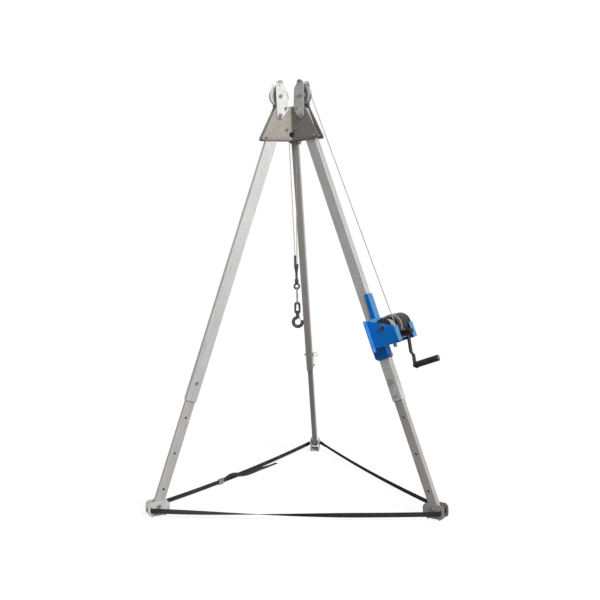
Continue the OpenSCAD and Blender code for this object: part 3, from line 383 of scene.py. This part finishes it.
def crimp(bm, outer, inner, length):
    """A pressed sleeve: a tube with rolled lips and two pressed waists, turned from its half section."""
    profile = [(inner, 0), (outer * 0.9, 0), (outer, 0.06), (outer, 0.26), (outer * 0.93, 0.32), (outer * 0.93, 0.42),
               (outer, 0.48), (outer, 0.6), (outer * 0.93, 0.66), (outer * 0.93, 0.76), (outer, 0.82),
               (outer, 0.94), (outer * 0.9, 1), (inner, 1)]
    section = [bm.verts.new((r, 0, length * h)) for r, h in profile]
    edges = [bm.edges.new(pair) for pair in zip(section, section[1:])]
    made = bmesh.ops.spin(bm, geom=section + edges, axis=(0, 0, 1), cent=(0, 0, 0), angle=2 * pi, steps=20,
                          use_merge=True, use_duplicate=False)
    bmesh.ops.remove_doubles(bm, verts=bm.verts, dist=0.000001)
    return made


def hexagon_screw(bm, place, across, height, washer):
    """A washer under a chamfered hexagon head, facing along the place's z."""
    parts = bmesh.ops.create_cone(bm, cap_ends=True, segments=28, radius1=washer, radius2=washer, depth=0.0015,
                                  matrix=place @ Matrix.Translation((0, 0, 0.00075)))["verts"]
    head = bmesh.ops.create_cone(bm, cap_ends=True, segments=6, radius1=across, radius2=across, depth=height,
                                 matrix=place @ Matrix.Translation((0, 0, 0.0015 + height / 2)))["verts"]
    rims = {e for v in parts + head for e in v.link_edges}
    bmesh.ops.bevel(bm, geom=list(rims), offset=0.0004, segments=2, profile=0.5, affect="EDGES", material=-1)


pin_down = 1.554
tie_down = 1.636
for side in leg_azimuths:
    leg = in_leg(side)
    span = tie_down - pin_down
    top = 0.0115
    route = []
    for k in range(29):
        u = k / 28
        route.append(leg @ Vector((
            0.010 * sin(pi * u), -0.025 - 0.009 * sin(pi * u) * (1 - u) + 0.0013 * u,
            -tie_down + 0.0048 + u * (span - 0.0048 - top))))
    bm = bmesh.new()
    strand_line(bm, route, 0.0012, 0.012, 0.0012, 5)
    wire = piece_from(bm, f"{side}_pin_lanyard", wire_rope)
    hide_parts(f"{side}_lanyard")
    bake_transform(wire)
    bm = bmesh.new()
    outwards = leg @ Matrix.Translation((0, -0.020, -tie_down)) @ Matrix.Rotation(pi / 2, 4, "X")
    bmesh.ops.create_cone(bm, cap_ends=True, segments=24, radius1=0.0045, radius2=0.0045, depth=0.0064,
                          matrix=outwards @ Matrix.Translation((0, 0, 0.0047)))
    hexagon_screw(bm, outwards, 0.0045, 0.001, 0.007)
    hexagon_screw(bm, outwards @ Matrix.Translation((0, 0, 0.0068)), 0.0055, 0.0027, 0.0048)
    screw = piece_from(bm, f"{side}_lanyard_screw", zinc)
    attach(screw, f"{side}_upper_leg")


# Shoes: channels folded from 5 mm plate with rounded cheeks and teeth cut under both ends to bite the ground,
# zinc plated, hung on a hinge bolt with two spacer tubes. The teeth and lower edges are worn and dusty.
def shoe_look(at, grey):
    cloud = grain(at, 45, 5)
    height = parts_of(at)[2]
    dust = (1 - rise(height, 0.004, 0.034)) * rise(cloud, 0.3, 0.6)
    scrape = rise(grain(stretched(at, 110, 110, 700), 1.0, 3), 0.58, 0.68)
    colour = between(rise(cloud, 0.3, 0.7), tint(grey - 26, grey - 27, grey - 29), tint(grey, grey - 1, grey - 3))
    colour = between(0.4 * scrape, colour, tint(grey - 60, grey - 62, grey - 65))
    colour = between(0.6 * dust, colour, tint(128, 118, 104))
    return {"Base Color": colour, "Metallic": 0.15, "Roughness": 0.36 + 0.12 * cloud + 0.25 * dust,
            "relief": (0.4 * cloud - scrape, 0.0002)}


# Painted shade: the shoes share one finish, but the right shoe is painted darker and the rear a little darker than the
# left.
for side, grey in (("left", 214), ("right", 166), ("rear", 204)):
    dress(finish(f"plated {side} shoe", lambda at, g=grey: shoe_look(at, g), 0.0012), f"{side}_shoe")
dress(zinc, *(f"{side}_foot_bolt" for side in leg_azimuths))


# Foot strap: black polyester webbing 25 mm wide, woven with a ribbed face and sewn selvedges, threaded through
# slots in all three shoes so that the feet can't spread. It sags a little and turns over between the feet.
web_r, web_y, web_h, web_sag = 0.90246, 0.035, 0.040, 0.020
web_mid = web_r * cos(pi / 3) + web_y * sin(pi / 3)


def webbing_look(at):
    along = at.node("ShaderNodeAttribute", {"attribute_name": "along"}, {}, 2)
    across = at.node("ShaderNodeAttribute", {"attribute_name": "around"}, {}, 2)
    rib = (along * 2600).sum("SINE", along * 2600 + across * 9000, 0)
    cords = (across * 4200).sum("SINE", across * 4200, 0)
    fade = grain(at, 14, 4)
    edge = rise(across * across, 0.0108 ** 2, 0.0118 ** 2)
    colour = between(rise(rib * cords, -0.5, 0.8), tint(42, 40, 42), tint(78, 75, 77))
    colour = between(0.3 * rise(fade, 0.4, 0.7), colour, tint(92, 88, 89))
    colour = between(0.5 * edge, colour, tint(24, 24, 26))
    return {"Base Color": colour, "Metallic": 0.0, "Roughness": 0.82 + 0.1 * fade, "Specular IOR Level": 0.15,
            "relief": (0.6 * rib + 0.5 * cords, 0.0004)}


webbing = finish("ribbed webbing", webbing_look)


def band(bm, places, width, thick):
    """Webbing through places, each a matrix whose x runs across the width and z along: a flat ring drawn on."""
    far = bm.verts.layers.float.get("along") or bm.verts.layers.float.new("along")
    cross = bm.verts.layers.float.get("around") or bm.verts.layers.float.new("around")
    ring = bmesh.ops.create_circle(bm, segments=20, radius=1.0)["verts"]
    edges = list({e for v in ring for e in v.link_edges})
    for v in ring:
        flat = max(-1.0, min(1.0, v.co.x * 1.12))
        v.co = Vector((flat * width / 2, max(-1.0, min(1.0, v.co.y * 2.6)) * thick / 2, 0))
        v[cross] = flat * width / 2
    placed, first, gone = Matrix.Identity(4), None, 0.0
    for k, place in enumerate(places):
        if k:
            grown = bmesh.ops.extrude_edge_only(bm, edges=edges)["geom"]
            ring = [g for g in grown if isinstance(g, bmesh.types.BMVert)]
            edges = [g for g in grown if isinstance(g, bmesh.types.BMEdge)]
            gone += (place.translation - places[k - 1].translation).length
        bmesh.ops.transform(bm, matrix=place @ placed.inverted(), verts=ring)
        placed = place
        for v in ring:
            v[far] = gone
        first = first or list(edges)
    for loop in (first, edges):
        bmesh.ops.contextual_create(bm, geom=loop)
    for face in bm.faces:
        face.smooth = True


def web_places(route, turns):
    """Frames along a strap: z runs along it, x across its width, tipped from upright by a turn at each point."""
    made = []
    for k, point in enumerate(route):
        ahead = (route[min(k + 1, len(route) - 1)] - route[max(k - 1, 0)]).normalized()
        flat = Vector((0, 0, 1)).cross(ahead).normalized()
        up = ahead.cross(flat)
        across = up * cos(turns[k]) + flat * sin(turns[k])
        thick = ahead.cross(across)
        made.append(Matrix.Translation(point) @ Matrix((across, thick, ahead)).transposed().to_4x4())
    return made


def strap_turn(side, way, u):
    """How far the webbing has turned over at a share u of the way from a foot to the middle of a span."""
    if (side, way) == ("left", 1):
        return pi * min(u / 1.4, 1) ** 0.8
    if (side, way) == ("right", -1):
        return pi - pi * min((2 - u) / 1.4, 1) ** 0.8
    if (side, way) == ("right", 1):
        return radians(14) * u
    if (side, way) == ("rear", -1):
        return radians(-20) * min(u / 0.12, 1) + radians(6) * u
    return 0.0


def strap_point(way, u, sag=web_sag):
    start = Vector((web_r, way * web_y, web_h))
    end = Vector((web_mid * cos(pi / 3), way * web_mid * sin(pi / 3), web_h))
    return start.lerp(end, u) - Vector((0, 0, sag * (2 * u - u * u)))


half_len = (strap_point(1, 1) - strap_point(1, 0)).length
slot_out, corner, lead_in = 0.031, 0.003, 0.040 / half_len
for side, azimuth in leg_azimuths.items():
    arm = Matrix.Rotation(radians(azimuth), 4, "Z")
    for way in (-1, 1):
        name = f"{side}_strap_{'on' if way > 0 else 'back'}"
        sag = 0.013 if (side, way) in (("left", 1), ("right", -1)) else web_sag
        shares = [lead_in + (1 - lead_in) * k / 96 for k in range(97)]
        route = [arm @ strap_point(way, u, sag) for u in shares]
        bm = bmesh.new()
        band(bm, web_places(route, [strap_turn(side, way, u) for u in shares]), 0.025, 0.0024)
        half = piece_from(bm, name, webbing)
        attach(half, f"{side}_upper_leg")
        tuple((route[-1] - route[0]).normalized())
        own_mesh(half)
        inside = [Vector((web_r, way * (web_y - corner) * k / 6, web_h)) for k in range(6)]
        edge = [Vector((web_r, way * (web_y - corner), web_h)), strap_point(way, 0, sag),
                strap_point(way, corner / half_len, sag)]
        bend = [edge[0].lerp(edge[1], k / 6).lerp(edge[1].lerp(edge[2], k / 6), k / 6) for k in range(7)]
        outside = [corner / half_len + (lead_in - corner / half_len) * k / 14 for k in range(1, 15)]
        led = [arm @ point for point in inside + bend + [strap_point(way, u, sag) for u in outside]]
        tips = [0.0] * 13 + [strap_turn(side, way, u) for u in outside]
        bm = bmesh.new()
        band(bm, web_places(led, tips), 0.025, 0.0024)
        through = piece_from(bm, f"{name}_through_its_shoe", webbing)
        if way > 0:
            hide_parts(f"{side}_strap")
        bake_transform(through)
        across, thick, ahead = web_places(led, tips)[-1].to_3x3().transposed()
        sewn_turn = Matrix((ahead, thick, -across)).transposed().to_4x4()
        rows = [led[-1] + (0.0125 - 0.025 * k / 40) * across for k in range(41)]
        bm = bmesh.new()
        band(bm, [Matrix.Translation(row) @ sewn_turn for row in rows], 0.026, 0.0038)
        sewn = piece_from(bm, f"{name}_sewn_end", webbing)
        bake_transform(sewn)


# Strap tail: the loose end beyond the buckle. It bows up as it leaves, then tips over and lies on the floor
# against the inner side of the strap.
left_foot = Matrix.Rotation(radians(210), 4, "Z")
rear_foot = Matrix.Rotation(radians(90), 4, "Z")
span_start = left_foot @ strap_point(-1, 0)
half_span = (left_foot @ strap_point(-1, 1) - span_start).xy.length
span_way = (left_foot @ strap_point(-1, 1) - span_start).xy.normalized().to_3d()
inwards = span_way.cross(Vector((0, 0, 1)))
bends = [(0.608, 0.0, 0.0030, 0), (0.628, 0.008, 0.0075, 0), (0.662, 0.0175, 0.0125, 4), (0.703, 0.0145, 0.0150, 16),
         (0.752, 0.002, 0.0150, 38), (0.812, -0.0105, 0.0150, 62), (0.885, -0.0135, 0.0155, 70),
         (0.945, -0.0125, 0.0150, 63), (1.000, -0.0170, 0.0165, 80), (1.060, -0.0195, 0.0180, 90),
         (1.115, -0.0215, 0.0180, 90)]


def tail_place(share):
    """A smooth line through the bends: distance along the span, height over the strap, step inwards and tip."""
    k = min(int(share * (len(bends) - 1)), len(bends) - 2)
    t = share * (len(bends) - 1) - k
    four = [bends[max(0, min(len(bends) - 1, k + n))] for n in (-1, 0, 1, 2)]
    gone, up, aside, tip = (0.5 * (2 * b + (c - a) * t + (2 * a - 5 * b + 4 * c - d) * t * t
                                   + (3 * b - a - 3 * c + d) * t ** 3) for a, b, c, d in zip(*four))
    on_strap = (left_foot @ strap_point(-1, gone / half_span) if gone < half_span
                else rear_foot @ strap_point(1, 2 - gone / half_span))
    return on_strap + aside * inwards + Vector((0, 0, up)), radians(tip)


tail_line = [tail_place(k / 72) for k in range(73)]
tail_route = [point for point, _ in tail_line]
bm = bmesh.new()
band(bm, web_places(tail_route, [tip for _, tip in tail_line]), 0.025, 0.0022)
tail = piece_from(bm, "strap_tail", webbing)
buckle = bpy.data.objects.new("buckle_on_the_strap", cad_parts["strap_buckle"].data.copy())
bpy.context.collection.objects.link(buckle)
buckle.data.materials.clear()
buckle.data.materials.append(zinc)
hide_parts("strap_buckle")
for on_span in (tail, buckle):
    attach(on_span, "left_upper_leg")
    tuple(left_foot @ strap_point(-1, lead_in))
    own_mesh(on_span)
sum((b - a).length for a, b in zip(tail_route, tail_route[1:]))


# Winch frame: a channel that grips the right leg and a housing bolted to it, both folded from 4 mm sheet and
# powder coated blue. The coat is glossy with a slight orange peel, and thin on the edges.
def blue_look(at, outer=None):
    peel = grain(at, 420, 2)
    cloud = grain(at, 9, 3)
    chip = rise(grain(at, 75, 5), 0.68, 0.71)
    colour = between(rise(cloud, 0.3, 0.7), tint(14, 122, 218), tint(24, 136, 232))
    painted_sheen = 0.0
    if outer:
        # Painted sheen: the faces that turn towards the light are painted a paler blue and given more coat and
        # specular.
        place = parts_of(along_leg(at, 330))
        painted_sheen = outer(*place)
        # Painted shade: below the housing's lower edge the blue is darkened, where the housing shades the channel.
        colour = between(0.3 - 0.3 * rise(place[2], housing_low - 0.004, housing_low), colour, tint(36, 62, 104))
        colour = between(painted_sheen, colour, tint(72, 138, 198))
    colour = between(0.7 * chip, colour, tint(120, 140, 160))
    return {"Base Color": colour, "Metallic": 0.0, "Roughness": 0.3 + 0.1 * cloud + 0.2 * chip,
            "Coat Weight": 0.03 + 0.09 * painted_sheen, "Specular IOR Level": 0.08 + 0.17 * painted_sheen,
            "relief": (peel - 0.6 * chip, 0.0003)}


# The faces that get the painted sheen: the channel's outer face above the housing's lower edge.
def channel_outer(x, y, z):
    return rise(x, channel_face - 0.0004, channel_face) * rise(z, housing_low - 0.004, housing_low)


# The faces that get the painted sheen: the housing's flanges, lip and back face.
def housing_outer(x, y, z):
    flange = rise(y * y, box_half ** 2, box_half ** 2 + 0.0001) * rise(x, flange_face - 0.0004, flange_face)
    lip = rise(x, lip_face - 0.0004, lip_face)
    back = rise(x, back_face - 0.0004, back_face) * (1 - rise(x, back_face + 0.0006, back_face + 0.001))
    return flange + lip - flange * lip + back * (1 - rise(y * y, (box_half - 0.0045) ** 2, (box_half - 0.004) ** 2))


channel_face, flange_face, lip_face, box_half, housing_low = 0.0345, 0.0196, 0.1718, 0.1, -1.366
back_face = 0.0390
dress(finish("blue channel with painted sheen", lambda at: blue_look(at, channel_outer), 0.0014), "winch_channel")
dress(finish("blue housing with painted sheen", lambda at: blue_look(at, housing_outer), 0.0014), "winch_housing")
dress(zinc, "winch_bolts")


# Drum bushes: bronze, pressed into the housing before it was coated, so the flanges outside carry the blue too.
def bush_look(at):
    bare, coated = bronze_look(at, 0.6), blue_look(at)
    y = parts_of(along_leg(at, 330))[1]
    outside = rise(y * y, box_half ** 2 - 0.00002, box_half ** 2)
    return {"Base Color": between(outside, bare["Base Color"], coated["Base Color"]),
            "Metallic": 0.6 - 0.6 * outside, "Roughness": bare["Roughness"], "relief": coated["relief"]}


dress(finish("coated bronze bush", bush_look, 0.0008), "winch_bushes")


# Gear case and drum: cast iron painted satin black. The case holds the worm and its bronze wheel, and the drum
# with its two flanges turns on a steel shaft across the housing.
def black_look(at):
    cast = grain(at, 300, 4)
    dust = rise(grain(at, 18, 4), 0.48, 0.72)
    rub = rise(grain(at, 110, 4), 0.62, 0.7)
    colour = between(0.6 * dust, tint(34, 33, 33), tint(66, 64, 62))
    colour = between(0.4 * rub, colour, tint(104, 102, 99))
    return {"Base Color": colour, "Metallic": 0.0, "Roughness": 0.36 + 0.16 * dust + 0.1 * cast, "Specular IOR Level": 0.2,
            "relief": (cast - 0.5 * rub, 0.0004)}


def case_look(at):
    paint = black_look(at)
    axle_at = along_leg(at, 330)
    x, y, z = parts_of(axle_at)
    bare = rise(y, -0.0112, -0.0108) * (1 - rise(y, -0.0034, -0.003))
    turned = grain(stretched(axle_at, 60, 900, 60), 1.0, 2)
    paint["Base Color"] = between(bare, paint["Base Color"], between(turned, tint(150, 149, 147), tint(206, 205, 202)))
    paint["Metallic"] = 0.5 * bare
    paint["Roughness"] = paint["Roughness"] - 0.1 * bare
    return paint


black = finish("satin black paint", black_look, 0.0012)
dress(finish("black case with a bare machined joint", case_look, 0.0012), "gear_case")
dress(black, "winch_drum", "crank_arm", "crank_nut")


def shaft_look(at, grime):
    drawn = grain(stretched(at, 500, 500, 500), 1.0, 2)
    oil = rise(grain(at, 60, 3), 0.45, 0.7)
    colour = between(grime + 0.4 * oil, tint(150, 147, 142), tint(44, 45, 48))
    return {"Base Color": colour, "Metallic": 0.7 - 0.7 * grime, "Roughness": 0.22 + 0.16 * oil,
            "Specular IOR Level": 0.5 - 0.3 * grime, "relief": (drawn, 0.0001)}


dress(finish("oiled bright steel", lambda at: shaft_look(at, 0.1), 0.0008), "worm_shaft", "grip_spindle")
dress(finish("blackened steel", lambda at: shaft_look(at, 0.9), 0.0008), "drum_shaft")


# Rope on the drum: eight turns of 5 mm wire rope laid side by side, the last one leaving upwards to the pulley.
def arc_point(radius, angle):
    return Vector((radius * cos(angle), 0, radius * sin(angle)))


right_arm = Matrix.Rotation(radians(330), 4, "Z")
axle = Vector((0.078, 0, 2.272))
pitch_r, wind_r, lead_y = 0.050, 0.0410, -0.037
drum = Vector((0.084 + 0.104 * cos(leg_tilt) + 1.278 * sin(leg_tilt), 0,
               2.163 + 0.104 * sin(leg_tilt) - 1.278 * cos(leg_tilt)))
lead_angle = atan2((drum - axle).z, (drum - axle).x) + acos((pitch_r - wind_r) / (drum - axle).length)
lead_top = axle + arc_point(pitch_r, lead_angle)
lead_low = drum + arc_point(wind_r, lead_angle) + Vector((0, lead_y, 0))
in_drum = in_leg("right") @ Matrix.Translation((0.104, 0, -1.278))
coil = []
for k in range(8 * 72 + 1):
    turn = lead_angle - leg_tilt - 2 * pi * (8 - k / 72)
    coil.append(in_drum @ Vector((wind_r * cos(turn), lead_y - 0.0058 * (8 - k / 72), wind_r * sin(turn))))
coil.append(coil[-1] + 0.005 * (right_arm @ (lead_top - lead_low)).normalized())
bm = bmesh.new()
strand_line(bm, coil, 0.0025, 0.034, 0.003)
winding = piece_from(bm, "rope_on_the_drum", wire_rope)
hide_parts("rope_winding")
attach(winding, "drum")


# Lines: the right line rises from the drum, passes over the right sheave and falls to the hook's socket. The left
# line falls from its sheave too, and ends in a crimped eye on the pulley's keeper pin.
def fall_angle(low):
    reach = Vector((0.006, 0, low)) - axle
    return 2 * pi + atan2(reach.z, reach.x) - acos(pitch_r / reach.length)


lead_way = (lead_low - lead_top).normalized()
climb = [right_arm @ (lead_top + 0.0001 * lead_way), right_arm @ (lead_low - 0.0051 * lead_way)]
bm = bmesh.new()
strand_line(bm, climb, 0.0025, 0.034, 0.003)
lead_line = piece_from(bm, "line_from_drum_to_pulley", wire_rope)
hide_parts("rope_lead")
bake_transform(lead_line)

over = [right_arm @ (axle + arc_point(pitch_r, lead_angle + (fall_angle(1.326) - lead_angle) * k / 40))
        for k in range(41)]
right_route = over + [right_arm @ Vector((0.006, 0, 1.32615))]
bm = bmesh.new()
strand_line(bm, right_route, 0.0025, 0.034, 0.003)
right_line = piece_from(bm, "right_hoist_line", wire_rope)
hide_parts("right_rope_arc", "right_rope_fall")
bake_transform(right_line)

left_arm = Matrix.Rotation(radians(210), 4, "Z")
keeper = Vector((0.083, 0, 2.333))
keep_angle = atan2((keeper - axle).z, (keeper - axle).x) + acos(pitch_r / (keeper - axle).length)
last = axle + arc_point(pitch_r, keep_angle)
pull = (keeper - last).normalized()
side_step = Vector((-pull.z, 0, pull.x))
eye = [keeper - 0.013 * pull]
for k in range(25):
    swing = radians(-150 + 300 * k / 24)
    eye.append(keeper + 0.0058 * (cos(swing) * pull + sin(swing) * side_step))
eye += [keeper - 0.013 * pull + 0.0012 * side_step]
left_over = [left_arm @ (axle + arc_point(pitch_r, keep_angle + (fall_angle(1.377) - keep_angle) * k / 16))
             for k in range(17)]
left_route = [left_arm @ p for p in reversed(eye)] + left_over + [left_arm @ Vector((0.006, 0, 1.37715))]
bm = bmesh.new()
strand_line(bm, left_route, 0.0022, 0.034, 0.0015)
left_line = piece_from(bm, "left_hoist_line", wire_rope)
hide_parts("left_rope_arc", "left_rope_fall")
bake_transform(left_line)
bm = bmesh.new()
crimp(bm, 0.0039, 0.0026, 0.0095)
sleeve_way = Vector((0, 0, 1)).rotation_difference(left_arm.to_3x3() @ pull).to_matrix().to_4x4()
bmesh.ops.transform(bm, matrix=Matrix.Translation(left_arm @ (keeper - 0.0138 * pull)) @ sleeve_way, verts=bm.verts)
sleeve = piece_from(bm, "left_line_sleeve", zinc)
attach(sleeve, "head")


# Crank: a flat black arm with an outward step, held on the worm shaft by a nut, and a moulded grip with rings
# that turns on a steel spindle. The grip is matt plastic, polished where hands hold it.
def grip_look(at):
    grainy = grain(at, 600, 2)
    shine = rise(grain(at, 30, 3), 0.45, 0.65)
    colour = between(0.5 * shine, tint(38, 36, 36), tint(62, 59, 59))
    return {"Base Color": colour, "Metallic": 0.0, "Roughness": 0.52 - 0.14 * shine + 0.08 * grainy, "Specular IOR Level": 0.2,
            "relief": (grainy, 0.0002)}


dress(finish("moulded black grip", grip_look, 0.0006), "crank_grip")


# Hook train: a swaged ferrule, a poured socket with an eye, a screw link, a swivel eye and a forged hook with a
# sprung latch. The forgings are black oxide worn to bare steel on the bearing faces.
def iron_look(at):
    scale = grain(at, 220, 5)
    worn = rise(grain(at, 46, 4), 0.55, 0.72)
    colour = between(rise(scale, 0.3, 0.7), tint(54, 51, 50), tint(78, 74, 72))
    colour = between(0.5 * worn, colour, tint(122, 118, 113))
    return {"Base Color": colour, "Metallic": 0.35, "Roughness": 0.4 + 0.16 * scale - 0.1 * worn,
            "relief": (scale, 0.0004)}


dress(finish("forged hook steel", iron_look), "rope_ferrule", "hook_socket", "swivel_eye", "swivel_hook")
dress(zinc, "quick_link", "hook_latch")


# Studio: a white floor that keeps a soft shadow, a white surround, one large soft light from the right in front
# and a weak one from the left, and the camera where the photograph was taken from.
floor_mesh = bmesh.new()
bmesh.ops.create_grid(floor_mesh, x_segments=1, y_segments=1, size=12)
floor = piece_from(floor_mesh, "studio_floor")
floor.location.z = -0.0005
paper = bpy.data.materials.new("white floor")
paper.use_nodes = True
tree = paper.node_tree
tree.nodes.clear()
ray = tree.nodes.new("ShaderNodeLightPath")
seen = Shade(tree, ray.outputs["Is Camera Ray"])
seen = seen.sum("MAXIMUM", seen, Shade(tree, ray.outputs["Is Glossy Ray"]))
matt = seen.node("ShaderNodeBsdfDiffuse", {}, {"Color": (0.9, 0.9, 0.9, 1)})
glow = seen.node("ShaderNodeEmission", {}, {"Color": (1, 1, 1, 1), "Strength": 1.07})
shown = seen.node("ShaderNodeMixShader", {}, {0: 0.8, 1: matt, 2: glow})
unlit = seen.node("ShaderNodeBsdfDiffuse", {}, {"Color": (0.05, 0.05, 0.05, 1)})
floor_mix = seen.node("ShaderNodeMixShader", {}, {0: seen, 1: unlit, 2: shown})
tree.links.new(floor_mix.socket, tree.nodes.new("ShaderNodeOutputMaterial").inputs[0])
floor.data.materials.append(paper)

world = bpy.data.worlds.new("white studio")
bpy.context.scene.world = world
world.use_nodes = True
tree = world.node_tree
tree.nodes.clear()
ray = tree.nodes.new("ShaderNodeLightPath")
seen = Shade(tree, ray.outputs["Is Camera Ray"])
seen = seen.sum("MAXIMUM", seen, Shade(tree, ray.outputs["Is Glossy Ray"]))
seen = seen.sum("MAXIMUM", seen, Shade(tree, ray.outputs["Is Transmission Ray"]))
dim = seen.node("ShaderNodeBackground", {}, {"Color": (1, 1, 1, 1), "Strength": 0.30})
white = seen.node("ShaderNodeBackground", {}, {"Color": (1, 1, 1, 1), "Strength": 1.0})
sky = seen.node("ShaderNodeMixShader", {}, {0: seen, 1: dim, 2: white})
tree.links.new(sky.socket, tree.nodes.new("ShaderNodeOutputWorld").inputs[0])


def soft_sun(name, towards, spread, strength):
    lamp = bpy.data.lights.new(name, "SUN")
    lamp.angle, lamp.energy = radians(spread), strength
    holder = bpy.data.objects.new(name, lamp)
    holder.rotation_euler = Vector(towards).to_track_quat("Z", "Y").to_euler()
    bpy.context.collection.objects.link(holder)


soft_sun("window light", (0.55, -0.55, 0.63), 32, 2.95)
soft_sun("weak fill", (-0.8, -0.35, 0.5), 50, 0.28)

bpy.context.scene.view_settings.view_transform = "Standard"
lens = bpy.data.cameras.new("photo camera")
lens.lens, lens.sensor_width = 48.4, 36.0
lens.shift_x, lens.shift_y = 0.0053, -0.0232
camera = bpy.data.objects.new("photo camera", lens)
camera.location = (0.517, -4.601, 1.531)
look = (Vector((0, 0, 1.2)) - camera.location).to_track_quat("-Z", "Y")
camera.rotation_euler = (look.to_matrix() @ Matrix.Rotation(radians(-1.6), 3, "Z")).to_euler()
bpy.context.collection.objects.link(camera)
bpy.context.scene.camera = camera
